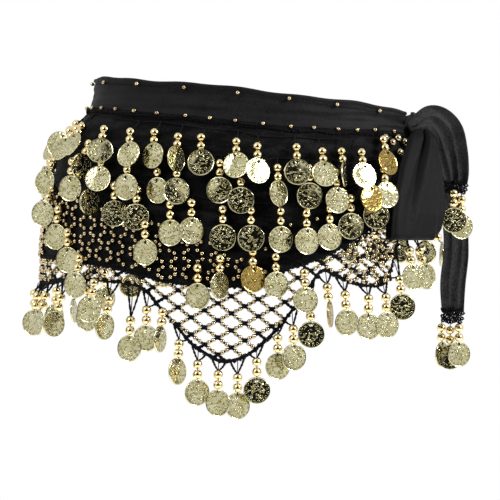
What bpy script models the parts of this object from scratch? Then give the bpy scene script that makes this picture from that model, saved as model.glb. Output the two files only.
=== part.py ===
"""Hip scarf with coin drops, worn and tied at the side, with nobody in it.

A folded waistband carries a velvet panel, and a crocheted net hangs from the panel's hem.
Rows of drops, each of two beads and a coin on a thread, hang from cords sewn to the velvet
and from the net's edge. The waistband's ends are tied in a knot with a loop and two tails.
Sizes are in millimetres and degrees here, and the meshes are made in metres.
The origin is the middle of the waist, +X is the wearer's left and -Y is the front.
"""

import math

import bpy
import numpy as np
from mathutils import Vector
from mathutils.geometry import delaunay_2d_cdt

MM = 0.001

# The general figure's outline, as ellipses at distances below the waistband's top
FIGURE = {
    "below": (-6, 0, 30, 65, 105, 150, 190, 300),
    "half_width": (150, 150, 154, 173, 181, 188, 191, 191),
    "half_depth": (110, 110, 114, 127, 133, 137, 139, 139),
    "shift": (0, 0, -2, -7, -10, -11, -11, -11),
}
TOP = 15
SLOPE = 0.11

# The scarf's ends stop beside the knot
KNOT_ANGLE = 72
END_GAP = 4.5
STATIONS = 48

# The cut, from one end round behind to the other: seam, velvet hem and net edge below the top
CUT = {
    "angle": (-288, -266, -250, -238, -220, -200, -180, -160, -140, -124, -108, -56, -38, -28,
              -20, -12, -4, 4, 10, 16, 22, 28, 38, 44, 50, 60, 67.5),
    "seam": (22, 23, 27, 29, 30, 31, 31, 30, 30, 30, 30, 30, 31, 31,
             31, 31, 31, 31, 31, 30, 29, 28, 26, 24, 23, 22, 22),
    "hem": (80, 80, 80, 81, 84, 92, 106, 124, 148, 165, 172, 172, 175, 179,
            182, 182, 180, 174, 162, 153, 144, 134, 115, 106, 98, 87, 80),
    "edge": (94, 94, 94, 95, 98, 106, 121, 141, 168, 190, 198, 192, 188, 192,
             216, 240, 248, 232, 210, 184, 158, 163, 166, 158, 119, 98, 94),
}

# Thickness of the cloth and of the waistband's rolled upper edge, and the gap at a seam
CLOTH = 2.0
ROLLED_EDGE = 3.2
SEAM_GAP = 0.3

# The waistband's section: share of the way down to the seam, and distance out
BAND_SECTION = (
    (0.97, 0.0), (0.0, 0.0), (-0.03, ROLLED_EDGE - 0.8), (0.07, ROLLED_EDGE), (0.16, CLOTH), (0.97, CLOTH),
)
BAND_WAVES = ((0.7, 7), (0.5, 17))
VELVET_SHARES = (0.0, 0.06, 0.12, 0.19, 0.42, 0.7, 1.0)

# Arc lengths are measured round the hips
HIPS_BELOW = 190
HIPS_STEPS = 720

# The net: diamonds of cord, with a plain border along both edges
CELL_WIDTH = 24
CELL_HEIGHT = 15.3
CELL_START = 181
CORD = 2.2
BORDER = 2.4
NET_ROWS_ABOVE = -13
NET_ROWS_BELOW = 11
NET_SPLIT = -100.3
NET_SPLIT_GAP = 0.07
LEAST_HOLE = 2

# A drop: a cord's thread, two beads and a coin, whose outline is given in shares of its radius
COIN_RADIUS = 12
COIN_THICK = 1.2
COIN_OUTLINE = ((-0.5, 0.87), (0.5, 0.87), (1.0, 0.3))
BEAD_HALF = 3.2
BEAD_PITCH = 8.2
BEAD_TO_COIN = 16.3
THREAD = 4.3
NECK_HALF = 0.8
ROOT_HALF = 2
STRIP_HEIGHT = 1.4
STRIP_DEEP = 1.4
STRIP_STAND = 0.5
EDGE_INSET = 0.6
JOIN_CLEAR = 0.9
BEAD_STAND = 6.8
COIN_STAND = 6.4
ROOT_TO_COIN = BEAD_TO_COIN + BEAD_PITCH + BEAD_HALF + THREAD

# Drops at the front: coin's angle, coin's middle below the top, and its turn about its thread
ROWS = {
    "coins_net_edge": (
        (-77, 236, 20), (-68, 234, 40), (-58, 233, 45), (-46, 224, 0), (-38, 229, 40),
        (-31, 246, 15), (-26, 235, 0), (-21.5, 234, 45), (-17, 261, 35), (-12, 278, 15),
        (-6.5, 285, 0), (-1.5, 286, 0), (3.5, 270, 0), (9, 247, 0), (13, 237, 0),
        (17.5, 215, 0), (22.5, 195, 45), (27.5, 201, 10), (35, 203, 0), (41, 200, 10),
        (46, 182, 0), (50.5, 154, 0), (56, 152, 20),
    ),
    "coins_diagonal": (
        (-71, 133, 30), (-62.5, 153, 5), (-55.5, 173, 0), (-49, 195, 15), (-42, 215, 0),
    ),
    "coins_row_4": (
        (-27, 158, 0), (-12, 192, 0), (-6, 180, 45), (2.5, 171, 40), (8.5, 174, 20), (16, 185, 0),
    ),
    "coins_row_3": (
        (-46, 118, 40), (-38, 126, 0), (-30, 127, 0), (-20, 138, 0), (-14, 134, 15),
        (-5.5, 137, 0), (2, 135, 0), (10, 133, 0), (17, 132, 0), (24, 126, 0), (30.5, 114, 0),
        (39, 102, 20),
    ),
    "coins_row_2": (
        (-74, 103, 20), (-59, 107, 0), (-52, 86, 45), (-44, 96, 30), (-34, 101, 0), (-25, 101, 0),
        (-19, 100, 20), (-7, 95, 20), (-1, 102, 0), (9, 92, 45), (18, 91, 0), (26, 92, 0),
        (36, 87, 20), (42, 82, 0),
    ),
    "coins_row_1": (
        (-75, 66, 20), (-60, 66, 30), (-67, 71, 30), (-46, 70, 0), (-35, 71, 0), (-27.5, 70, 20),
        (-20, 71, 45), (-13, 72, 0), (-3, 71, 25), (3, 74, 0), (14, 71, 0), (21.5, 70, 25),
        (28, 68, 45), (34, 67, 0), (45, 52, 30),
    ),
}

# Behind, each row goes on at an even pitch: coin's middle below the top, or below the net's edge
BACK_START = -88
BACK_END = {"coins_net_edge": -266, "coins_row_1": -266, "coins_row_2": -235, "coins_row_3": -168}
BACK_PITCH = 31
BACK_LEVEL = {"coins_row_1": 70, "coins_row_2": 99, "coins_row_3": 131}
BACK_TURNS = (0, 20, -15, 35, 0, -30, 10)
EDGE_THREAD = 35

# Least distances between drops as they lie on each other, and the step that lifts one clear
FAR_APART = 4 * COIN_RADIUS
COIN_CLEAR = 2.0
BEAD_CLEAR = 5.4
BEADS_CLEAR = 9.4
THREAD_CLEAR = 2.4
LIFT = 0.8
BEAD_LIFT_SHARE = 0.4
RIM_POINTS = 16

# How far a thread leans over to hang upright in the front view, none at the hips
HANG_SLOPE = 1.6
HANG_START = 0.3
WIDEST_SINE = 0.98

# The knot, with its radii along the waist, outwards and upwards
KNOT_BELOW = 17
KNOT_STAND = 7
KNOT_RADII = (10.5, 8.5, 13)
KNOT_TILTS = (-75, -50, -25, 0, 25, 50, 75)
KNOT_SIDES = 12

# The loop's outer layer: height, then both edges in plan, and the fold that turns it back up
LOOP = {
    "height": (-17, -26, -52, -75, -98, -117),
    "left_x": (149, 144, 135, 130, 127, 126),
    "left_y": (-50, -61, -84, -101, -111, -115),
    "right_x": (161, 169, 176, 178.5, 178.5, 175),
    "right_y": (-46.5, -50, -54, -59, -65, -69),
}
LOOP_FOLD = 3.5
LOOP_BACK_ROWS = 4
LOOP_FOLDS = 3
LOOP_DEPTH = 0.8

# The two tie ends: middle line, width, and depth of their lengthwise folds
SHORT_END = {
    "x": (157.5, 168, 179.5, 185.5, 188.5, 188.5),
    "y": (-43, -41, -36, -31, -28.5, -28.5),
    "z": (-8.5, -8, -19, -38, -56, -69),
    "width": (8, 22, 26, 25, 22, 21),
}
LONG_END = {
    "x": (158, 170, 181, 189, 190.5, 187.5, 187.5),
    "y": (-24, -12, -5, -2, -2, -2, -2),
    "z": (-31, -55, -80, -105, -132, -162, -191),
    "width": (6, 12, 18, 22, 23, 23, 20),
}
END_FOLDS = 3
END_DEPTH = 2.2

# Drops on the tie ends: coin's middle, and its turn
SHORT_DROPS = ((186, -31, -102, 15), (193.5, -26, -108, -20))
LONG_DROPS = ((177, 1.5, -229, 9), (185, -2, -231.5, 0), (193, -5.5, -229, -10))

BLACK_CREPE = (0.018, 0.018, 0.020)
BLACK_VELVET = (0.008, 0.008, 0.009)
BLACK_CORD = (0.012, 0.012, 0.016)
GOLD = (0.82, 0.72, 0.45)


def clear_scene():
    for item in list(bpy.data.objects):
        bpy.data.objects.remove(item, do_unlink=True)


def material(name, colour, roughness, metallic):
    made = bpy.data.materials.new(name)
    made.use_nodes = True
    shader = made.node_tree.nodes["Principled BSDF"]
    shader.inputs["Base Color"].default_value = (*colour, 1)
    shader.inputs["Roughness"].default_value = roughness
    shader.inputs["Metallic"].default_value = metallic
    return made


def add_piece(name, points, faces, finish):
    """Make one named object from points in millimetres."""
    mesh = bpy.data.meshes.new(name)
    mesh.from_pydata((np.asarray(points) * MM).tolist(), [], [list(face) for face in faces])
    mesh.validate()
    mesh.materials.append(material(name, *finish))
    piece = bpy.data.objects.new(name, mesh)
    bpy.context.collection.objects.link(piece)
    return piece


def smooth(table_x, table_y, x):
    """Read a table between its rows on a curve that passes through them."""
    xs = np.asarray(table_x, float)
    ys = np.asarray(table_y, float)
    x = np.clip(np.asarray(x, float), xs[0], xs[-1])
    slopes = np.gradient(ys, xs)
    i = np.clip(np.searchsorted(xs, x, side="right") - 1, 0, len(xs) - 2)
    h = xs[i + 1] - xs[i]
    t = (x - xs[i]) / h
    start = (2 * t**3 - 3 * t**2 + 1) * ys[i] + (t**3 - 2 * t**2 + t) * h * slopes[i]
    end = (3 * t**2 - 2 * t**3) * ys[i + 1] + (t**3 - t**2) * h * slopes[i + 1]
    return start + end


def figure(column, below):
    return smooth(FIGURE["below"], FIGURE[column], below)


def on_figure(angle, below, out=0.0):
    """Point on the figure at an angle from the front, moved out along the level normal."""
    a = figure("half_width", below)
    b = figure("half_depth", below)
    t = np.radians(angle)
    normal_x = b * np.sin(t)
    normal_y = -a * np.cos(t)
    length = np.hypot(normal_x, normal_y)
    x = figure("shift", below) + a * np.sin(t) + out * normal_x / length
    y = -b * np.cos(t) + out * normal_y / length
    return np.stack([x, y, TOP - below - SLOPE * x], -1)


def outward(angle, below):
    """Level direction straight out of the figure."""
    step = on_figure(angle, below, 1.0) - on_figure(angle, below)
    step[..., 2] = 0
    return step / np.linalg.norm(step, axis=-1, keepdims=True)


def cut_line(column, angle):
    """Distance of a cut line below the top."""
    return smooth(CUT["angle"], CUT[column], angle)


def arc_table():
    """Angles and the arc length to each, round the figure at the hips."""
    angles = np.linspace(KNOT_ANGLE - 360, KNOT_ANGLE, HIPS_STEPS + 1)
    points = on_figure(angles, np.full(angles.shape, float(HIPS_BELOW)))[:, :2]
    steps = np.linalg.norm(np.diff(points, axis=0), axis=1)
    return angles, np.concatenate([[0], np.cumsum(steps)])


def sweep(sections):
    """Join matching points of a run of closed sections, and cap both ends with strips of quads."""
    count, size, _ = sections.shape
    faces = []
    for i in range(count - 1):
        for j in range(size):
            k = (j + 1) % size
            faces.append((i * size + j, i * size + k, (i + 1) * size + k, (i + 1) * size + j))
    last = (count - 1) * size
    for j in range(size // 2 - 1):
        quad = (j, j + 1, size - 2 - j, size - 1 - j)
        faces.append(tuple(reversed(quad)))
        faces.append(tuple(last + index for index in quad))
    return sections.reshape(-1, 3), faces


def scarf_angles():
    return np.linspace(KNOT_ANGLE - 360 + END_GAP, KNOT_ANGLE - END_GAP, STATIONS + 1)


def make_waistband():
    """Folded strip with a rolled upper edge, from the top down to the seam."""
    angles = scarf_angles()
    seam = cut_line("seam", angles)
    wave = sum(height * np.sin(np.radians(angles * count)) for height, count in BAND_WAVES)
    rings = []
    for share, out in BAND_SECTION:
        below = np.where(share > 0.5, seam - SEAM_GAP, share * seam + wave)
        rings.append(on_figure(angles, below, out))
    points, faces = sweep(np.stack(rings, 1))
    return add_piece("waistband", points, faces, (BLACK_CREPE, 0.7, 0))


def make_velvet():
    """Skirt panel from the seam to its hem, a thin wall on the figure."""
    angles = scarf_angles()
    seam = cut_line("seam", angles)
    hem = cut_line("hem", angles)
    inner = [on_figure(angles, seam + share * (hem - seam), 0.0) for share in VELVET_SHARES]
    outer = [on_figure(angles, seam + share * (hem - seam), CLOTH) for share in VELVET_SHARES]
    points, faces = sweep(np.stack(inner[::-1] + outer, 1))
    return add_piece("velvet_panel", points, faces, (BLACK_VELVET, 0.9, 0))


def net_holes(start, end):
    """Corners of the net's whole diamonds, as an angle and a distance below the top."""
    angles, lengths = arc_table()
    side = math.hypot(CELL_WIDTH, CELL_HEIGHT)
    share = 1 - CORD * side / (CELL_WIDTH * CELL_HEIGHT)
    half_width = share * CELL_WIDTH / 2
    half_height = share * CELL_HEIGHT / 2
    first = np.interp(start, angles, lengths) + BORDER + half_width
    last = np.interp(end, angles, lengths) - BORDER - half_width
    holes = []
    for row in range(NET_ROWS_ABOVE, NET_ROWS_BELOW):
        below = CELL_START + row * CELL_HEIGHT / 2
        offset = (row % 2) * CELL_WIDTH / 2
        for column in range(int(first // CELL_WIDTH), int(last // CELL_WIDTH) + 1):
            along = column * CELL_WIDTH + offset
            if not first <= along <= last:
                continue
            places = np.interp([along - half_width, along, along + half_width], lengths, angles)
            upper = cut_line("hem", places) + BORDER
            lower = cut_line("edge", places) - BORDER
            top = max(below - half_height, upper[1])
            bottom = min(below + half_height, lower[1])
            left, middle, right = places
            sides_inside = max(upper[0], upper[2]) < below - 1 and below + 1 < min(lower[0], lower[2])
            if sides_inside and top < below - LEAST_HOLE and bottom > below + LEAST_HOLE:
                holes.append(((left, below), (middle, top), (right, below), (middle, bottom)))
    return holes


def net_triangles(upper, lower, holes):
    """Flat triangles between the net's two outlines, without those inside a hole."""
    loops = [upper + lower[::-1], *holes]
    flat = []
    owner = []
    edges = []
    for number, loop in enumerate(loops):
        first = len(flat)
        flat += [Vector(point) for point in loop]
        owner += [number] * len(loop)
        edges += [(first + i, first + (i + 1) % len(loop)) for i in range(len(loop))]
    found, _, triangles, sources, *_ = delaunay_2d_cdt(flat, edges, [], 0, 1e-5)
    plan = np.array([tuple(point) for point in found])
    owner = [owner[source[0]] for source in sources]
    upper_angle, upper_below = np.array(upper).T
    lower_angle, lower_below = np.array(lower).T
    kept = []
    for triangle in triangles:
        loops_met = {owner[index] for index in triangle}
        middle = plan[list(triangle)].mean(axis=0)
        above = middle[1] <= np.interp(middle[0], upper_angle, upper_below)
        under = middle[1] >= np.interp(middle[0], lower_angle, lower_below)
        in_hole = len(loops_met) == 1 and 0 not in loops_met
        if not (above or under or in_hole):
            kept.append(tuple(triangle))
    return plan, kept


def make_net(name, start, end, edge_angles):
    """Crocheted net between the hem and the net's edge, a thin wall cut through at each diamond."""
    top = [float(angle) for angle in scarf_angles() if start < angle < end]
    low = [float(angle) for angle in edge_angles if start < angle < end]
    upper = [(angle, float(cut_line("hem", angle)) + SEAM_GAP) for angle in [start, *top, end]]
    lower = [(angle, float(cut_line("edge", angle))) for angle in [start, *low, end]]
    plan, triangles = net_triangles(upper, lower, net_holes(start, end))
    inner = on_figure(plan[:, 0], plan[:, 1], 0.0)
    outer = on_figure(plan[:, 0], plan[:, 1], CLOTH)
    count = len(plan)
    faces = []
    border = set()
    for a, b, c in triangles:
        (ax, ay), (bx, by), (cx, cy) = plan[a], plan[b], plan[c]
        if (bx - ax) * (cy - ay) - (by - ay) * (cx - ax) < 0:
            b, c = c, b
        faces.append((a, b, c))
        faces.append((count + a, count + c, count + b))
        for edge in ((a, b), (b, c), (c, a)):
            if (edge[1], edge[0]) in border:
                border.remove((edge[1], edge[0]))
            else:
                border.add(edge)
    for a, b in sorted(border):
        faces.append((b, a, count + a, count + b))
    return add_piece(name, np.concatenate([inner, outer]), faces, (BLACK_CORD, 0.8, 0))


def unit(vector):
    vector = np.asarray(vector, float)
    return vector / np.linalg.norm(vector)


def hang_angle(angle, below, level):
    """Angle at a higher level, straight above the point in the front view, less so at the hips."""
    x = on_figure(angle, below)[0]
    sine = (x - figure("shift", level)) / figure("half_width", level)
    straight = math.degrees(math.asin(np.clip(sine, -WIDEST_SINE, WIDEST_SINE)))
    facing = math.cos(math.radians(angle))
    if facing < 0:
        straight = -180 - straight
    share = min(1, max(0, HANG_SLOPE * abs(facing) - HANG_START))
    return angle + share * (straight - angle)


def drop_shape(middle, axis, face, turn):
    """Coin's middle, the thread's direction, the coin's own axes and the beads' middles."""
    across = unit(np.cross(axis, face))
    face = np.cross(across, axis)
    swing = math.radians(turn)
    return {
        "middle": middle,
        "axis": axis,
        "across": across,
        "face": face,
        "coin_across": math.cos(swing) * across + math.sin(swing) * face,
        "coin_face": math.cos(swing) * face - math.sin(swing) * across,
        "beads": np.array([middle - (BEAD_TO_COIN + i * BEAD_PITCH) * axis for i in (1, 0)]),
        "joins": [],
    }


def drop_on_figure(angle, below, turn, lift):
    """A drop that hangs down the figure, lifted off it where it lies on other drops."""
    bead_below = below - BEAD_TO_COIN - BEAD_PITCH
    root_angle = hang_angle(angle, below, bead_below)
    out = COIN_STAND + COIN_RADIUS * abs(math.sin(math.radians(turn))) + lift
    middle = on_figure(angle, below, out)
    upper = on_figure(root_angle, bead_below, BEAD_STAND + BEAD_LIFT_SHARE * lift)
    drop = drop_shape(middle, unit(middle - upper), outward(angle, below), turn)
    drop["root_angle"] = root_angle
    drop["root_below"] = below - ROOT_TO_COIN
    return drop


def coin_points(drop):
    """Points on a coin's rim, half-way in and at its middle."""
    turns = np.linspace(0, 2 * math.pi, RIM_POINTS, endpoint=False)
    circle = np.outer(np.cos(turns), drop["coin_across"]) + np.outer(np.sin(turns), drop["axis"])
    rim = drop["middle"] + COIN_RADIUS * circle
    return np.concatenate([rim, drop["middle"] + COIN_RADIUS / 2 * circle, [drop["middle"]]])


def distance_to_coin(points, drop):
    """Distance of points from a coin's flat disc."""
    offset = points - drop["middle"]
    height = offset @ drop["coin_face"]
    flat = np.linalg.norm(offset - np.outer(height, drop["coin_face"]), axis=1)
    return np.hypot(height, np.maximum(flat - COIN_RADIUS, 0))


def clears(drop, other):
    """Whether two drops lie clear of each other."""
    if np.linalg.norm(drop["middle"] - other["middle"]) > FAR_APART:
        return True
    for one, two in ((drop, other), (other, drop)):
        if distance_to_coin(coin_points(one), two).min() < COIN_CLEAR:
            return False
        if distance_to_coin(one["beads"], two).min() < BEAD_CLEAR:
            return False
        if distance_to_coin(one["thread"], two).min() < THREAD_CLEAR:
            return False
    apart = np.linalg.norm(drop["beads"][:, None] - other["beads"][None], axis=2)
    return apart.min() > BEADS_CLEAR


def strip_section(angle, below, hung_on_net):
    """Section of the strip that a row's threads are sewn to, a triangle with a flat base."""
    stand = CLOTH + STRIP_STAND
    if hung_on_net:
        below = cut_line("edge", angle) - EDGE_INSET
    front = stand + STRIP_DEEP
    corners = ((stand, below), (front, below), (stand + STRIP_DEEP / 2, below - STRIP_HEIGHT))
    return [on_figure(angle, level, out) for out, level in corners]


def root_sections(drop, hung_on_net):
    """Two sections of the strip, just before and after the drop."""
    angle = drop["root_angle"]
    below = drop["root_below"]
    one_degree = np.linalg.norm(on_figure(angle + 0.5, below) - on_figure(angle - 0.5, below))
    reach = ROOT_HALF / one_degree
    drop["angles"] = [angle - reach, angle + reach]
    return np.array([strip_section(side, below, hung_on_net) for side in drop["angles"]])


def join_drops(row, hung_on_net):
    """Give each drop the strip's sections between it and the drop before, at the scarf's stations."""
    for before, after in zip(row, row[1:]):
        ends = (before["angles"][1], after["angles"][0])
        levels = (before["root_below"], after["root_below"])
        joins = [
            float(angle) for angle in scarf_angles()
            if ends[0] + JOIN_CLEAR < angle < ends[1] - JOIN_CLEAR
        ]
        after["joins"] = [
            strip_section(angle, np.interp(angle, ends, levels), hung_on_net) for angle in joins
        ]
        after["angles"] += joins


def place_row(name, placed):
    """Place a row's drops one by one, each lifted until it clears those placed before it."""
    hung_on_net = name == "coins_net_edge"
    row = []
    for angle, below, turn in row_table(name):
        lift = 0
        while True:
            drop = drop_on_figure(angle, below, turn, lift)
            drop["sections"] = root_sections(drop, hung_on_net)
            root = drop["sections"].mean(axis=(0, 1))
            top = drop["beads"][0] - BEAD_HALF * drop["axis"]
            drop["thread"] = np.linspace(root, top, 4)
            if all(clears(drop, other) for other in placed):
                break
            lift += LIFT
        row.append(drop)
        placed.append(drop)
    row.sort(key=lambda drop: drop["root_angle"])
    join_drops(row, hung_on_net)
    return row


def row_table(name):
    """A row's drops, those seen at the front and then those behind at an even pitch."""
    rows = list(ROWS[name])
    if name not in BACK_LEVEL and name != "coins_net_edge":
        return rows
    angles, lengths = arc_table()
    names = list(ROWS)
    start = np.interp(BACK_START, angles, lengths) - (names.index(name) % 2) * BACK_PITCH / 2
    end = np.interp(BACK_END[name], angles, lengths)
    for i, along in enumerate(np.arange(start, end, -BACK_PITCH)):
        angle = float(np.interp(along, lengths, angles))
        turn = BACK_TURNS[(i + 2 * names.index(name)) % len(BACK_TURNS)]
        if name == "coins_net_edge":
            below = float(cut_line("edge", angle)) + EDGE_THREAD
        else:
            below = BACK_LEVEL[name]
        rows.append((angle, below, turn))
    return rows


def strand_rings(drop):
    """Four-sided rings down the thread, the beads and the coin."""
    half = COIN_THICK / 2
    upper, lower = drop["beads"]
    between = (upper + lower) / 2
    neck = drop["middle"] - COIN_RADIUS * drop["axis"]
    across, face = drop["across"], drop["face"]
    rings = [
        (upper, BEAD_HALF * across, BEAD_HALF * face),
        (between, NECK_HALF * across, NECK_HALF * face),
        (lower, BEAD_HALF * across, BEAD_HALF * face),
        (neck, NECK_HALF * drop["coin_across"], half * drop["coin_face"]),
    ]
    for level, width in COIN_OUTLINE:
        middle = drop["middle"] + level * COIN_RADIUS * drop["axis"]
        rings.append((middle, width * COIN_RADIUS * drop["coin_across"], half * drop["coin_face"]))
    return np.array([[m + a - f, m - a - f, m - a + f, m + a + f] for m, a, f in rings])


def make_fringe(name, row):
    """One closed body: a narrow strip with a drop hanging from it at each pair of sections."""
    points = []
    faces = []
    last = None
    for drop in row:
        for section in (*drop["joins"], drop["sections"][0]):
            base = len(points)
            points += list(section)
            if last is not None:
                faces += [(base + i, base + (i + 1) % 3, last + (i + 1) % 3, last + i) for i in range(3)]
            last = base
        points += list(drop["sections"][1])
        inner, outer, top = base, base + 1, base + 2
        faces.append((inner, top, top + 3, inner + 3))
        faces.append((top, outer, outer + 3, top + 3))
        ring = [inner, inner + 3, outer + 3, outer]
        for corners in strand_rings(drop):
            first = len(points)
            points += list(corners)
            below = [first, first + 1, first + 2, first + 3]
            faces += [(ring[i], ring[(i + 1) % 4], below[(i + 1) % 4], below[i]) for i in range(4)]
            ring = below
        faces.append(tuple(ring))
        last = base + 3
    faces.append((0, 1, 2))
    faces.append((last, last + 2, last + 1))
    return add_piece(name, points, faces, (GOLD, 0.25, 1))


def make_knot():
    """Rounded knot between the waistband's ends."""
    middle = on_figure(KNOT_ANGLE, KNOT_BELOW, KNOT_STAND)
    out = outward(KNOT_ANGLE, KNOT_BELOW)
    along = np.array([out[1], -out[0], 0])
    rings = []
    turns = np.linspace(0, 2 * math.pi, KNOT_SIDES, endpoint=False)
    for tilt in KNOT_TILTS:
        spread = math.cos(math.radians(tilt))
        ring = np.outer(np.cos(turns) * spread * KNOT_RADII[0], along)
        ring = ring + np.outer(np.sin(turns) * spread * KNOT_RADII[1], out)
        ring[:, 2] += math.sin(math.radians(tilt)) * KNOT_RADII[2]
        rings.append(middle + ring)
    points, faces = sweep(np.array(rings))
    return add_piece("knot", points, faces, (BLACK_CREPE, 0.7, 0))


def folded_strip(name, path, across, width, folds, depth):
    """Cloth strip along a path, a thin wall with even lengthwise folds across its width."""
    along = np.gradient(path, axis=0)
    normal = np.cross(across, along)
    normal /= np.linalg.norm(normal, axis=1, keepdims=True)
    shares = np.linspace(-0.5, 0.5, 2 * folds + 3)
    fold = depth * np.cos(np.arange(len(shares)) * math.pi)
    side = path[:, None] + across[:, None] * (width[:, None] * shares)[:, :, None]
    front = side + normal[:, None] * (fold + CLOTH / 2)[None, :, None]
    back = side + normal[:, None] * (fold - CLOTH / 2)[None, :, None]
    points, faces = sweep(np.concatenate([front, back[:, ::-1]], axis=1))
    return add_piece(name, points, faces, (BLACK_CREPE, 0.7, 0))


def make_loop():
    """Loop of the tie: an outer layer, a fold at the bottom, and an inner layer back up."""
    left = np.stack([LOOP["left_x"], LOOP["left_y"], LOOP["height"]], 1)
    right = np.stack([LOOP["right_x"], LOOP["right_y"], LOOP["height"]], 1)
    middle = (left + right) / 2
    width = np.linalg.norm(right - left, axis=1)
    across = (right - left) / width[:, None]
    out = np.stack([across[:, 1], -across[:, 0], np.zeros(len(across))], 1)
    front = middle - out * CLOTH / 2
    turns = np.radians((45, 90, 135))
    centre = front[-1] - out[-1] * LOOP_FOLD
    fold = centre + LOOP_FOLD * (np.outer(np.cos(turns), out[-1]) - np.outer(np.sin(turns), (0, 0, 1)))
    back = (front - 2 * LOOP_FOLD * out)[::-1][:LOOP_BACK_ROWS]
    path = np.concatenate([front, fold, back])
    sides = np.concatenate([across, np.repeat(across[-1:], 3, axis=0), across[::-1][:LOOP_BACK_ROWS]])
    widths = np.concatenate([width, np.repeat(width[-1:], 3), width[::-1][:LOOP_BACK_ROWS]])
    return folded_strip("tie_loop", path, sides, widths, LOOP_FOLDS, LOOP_DEPTH)


def make_end(name, table):
    path = np.stack([table["x"], table["y"], table["z"]], 1).astype(float)
    along = np.gradient(path, axis=0)
    across = np.cross(along, (0, 1, 0))
    across /= np.linalg.norm(across, axis=1, keepdims=True)
    return folded_strip(name, path, across, np.array(table["width"], float), END_FOLDS, END_DEPTH)


def end_fringe(name, table, drops):
    """Drops that hang straight down from the end of a tie."""
    row = []
    height = table["z"][-1] - SEAM_GAP
    for x, y, z, turn in drops:
        drop = drop_shape(np.array([x, y, z], float), np.array([0, 0, -1.0]), np.array([0, -1.0, 0]), turn)
        sections = []
        for side in (x - ROOT_HALF, x + ROOT_HALF):
            back = table["y"][-1] + STRIP_DEEP / 2
            front = back - STRIP_DEEP
            corners = ((back, -STRIP_HEIGHT), (front, -STRIP_HEIGHT), (table["y"][-1], 0))
            sections.append([(side, y_corner, height + lower) for y_corner, lower in corners])
        drop["sections"] = np.array(sections)
        row.append(drop)
    return make_fringe(name, row)


def build():
    clear_scene()
    make_waistband()
    make_velvet()
    placed = []
    rows = {name: place_row(name, placed) for name in ROWS}
    edge_angles = sorted(angle for drop in rows["coins_net_edge"] for angle in drop["angles"])
    angles = scarf_angles()
    make_net("net_front", NET_SPLIT + NET_SPLIT_GAP, float(angles[-1]), edge_angles)
    make_net("net_back", float(angles[0]), NET_SPLIT - NET_SPLIT_GAP, edge_angles)
    for name, row in rows.items():
        make_fringe(name, row)
    make_knot()
    make_loop()
    make_end("tie_short_end", SHORT_END)
    make_end("tie_long_end", LONG_END)
    end_fringe("coins_short_end", SHORT_END, SHORT_DROPS)
    end_fringe("coins_long_end", LONG_END, LONG_DROPS)


build()
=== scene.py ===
import math
from functools import partial

import bpy
import numpy as np
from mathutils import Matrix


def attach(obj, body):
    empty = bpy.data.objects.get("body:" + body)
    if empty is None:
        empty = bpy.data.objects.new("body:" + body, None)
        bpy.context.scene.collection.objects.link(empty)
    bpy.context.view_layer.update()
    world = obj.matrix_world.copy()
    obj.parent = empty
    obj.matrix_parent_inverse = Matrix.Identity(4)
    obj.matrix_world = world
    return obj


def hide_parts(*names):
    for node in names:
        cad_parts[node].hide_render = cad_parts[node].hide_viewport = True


# Looks of a black hip scarf hung with coins, worn and tied at the side with nobody in it.
# Sizes here are in millimetres and degrees, and meshes are made in metres.
# The origin is the middle of the waist, +X is the viewer's right and -Y faces the viewer.
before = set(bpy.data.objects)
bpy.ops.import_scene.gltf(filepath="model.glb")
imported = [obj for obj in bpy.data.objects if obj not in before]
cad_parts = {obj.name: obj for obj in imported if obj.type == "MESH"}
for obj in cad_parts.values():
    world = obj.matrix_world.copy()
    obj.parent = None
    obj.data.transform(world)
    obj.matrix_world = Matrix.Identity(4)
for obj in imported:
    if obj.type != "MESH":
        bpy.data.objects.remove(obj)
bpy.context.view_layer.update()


# Studio: a level camera in front, a pale floor far below, and an even white room.
# Round the camera the room is dark, in a triangle with its point up: coins that face it
# squarely look black with bright edges, and each round bead has a small dark triangle.
MM = 0.001
CAMERA_PLACE = (-5, -2400, -130)
CAMERA_LENS = 181.9
FLOOR_HEIGHT = -1500
FLOOR_RADIUS = 3000
ROOM_WHITE = (1.0, 1.0, 1.0)
ROOM_DARK = (0.012, 0.012, 0.013)
ROOM_STRENGTH = 0.85
DARK_WIDE = 0.98
DARK_BOTTOM = -0.56
DARK_TOP = 0.94


def add_node(tree, kind, inputs=(), **settings):
    """Shader node with its settings, each input given a value or joined to another node's output."""
    node = tree.nodes.new("ShaderNode" + kind)
    for key, value in settings.items():
        setattr(node, key, value)
    for socket, value in inputs:
        if isinstance(value, bpy.types.NodeSocket):
            tree.links.new(value, node.inputs[socket])
        else:
            node.inputs[socket].default_value = value
    return node


def math_node(tree, operation, *values):
    inputs = tuple(enumerate(values))
    return add_node(tree, "Math", inputs, operation=operation).outputs[0]


def ramp_node(tree, value, stops, interpolation="LINEAR"):
    """Colour ramp through the given stops, each a position and a grey or a colour."""
    ramp = add_node(tree, "ValToRGB", [("Fac", value)])
    ramp.color_ramp.interpolation = interpolation
    elements = ramp.color_ramp.elements
    while len(elements) < len(stops):
        elements.new(1.0)
    for element, (position, colour) in zip(elements, stops):
        element.position = position
        element.color = (colour, colour, colour, 1) if isinstance(colour, float) else (*colour, 1)
    return ramp.outputs["Color"]


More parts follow.
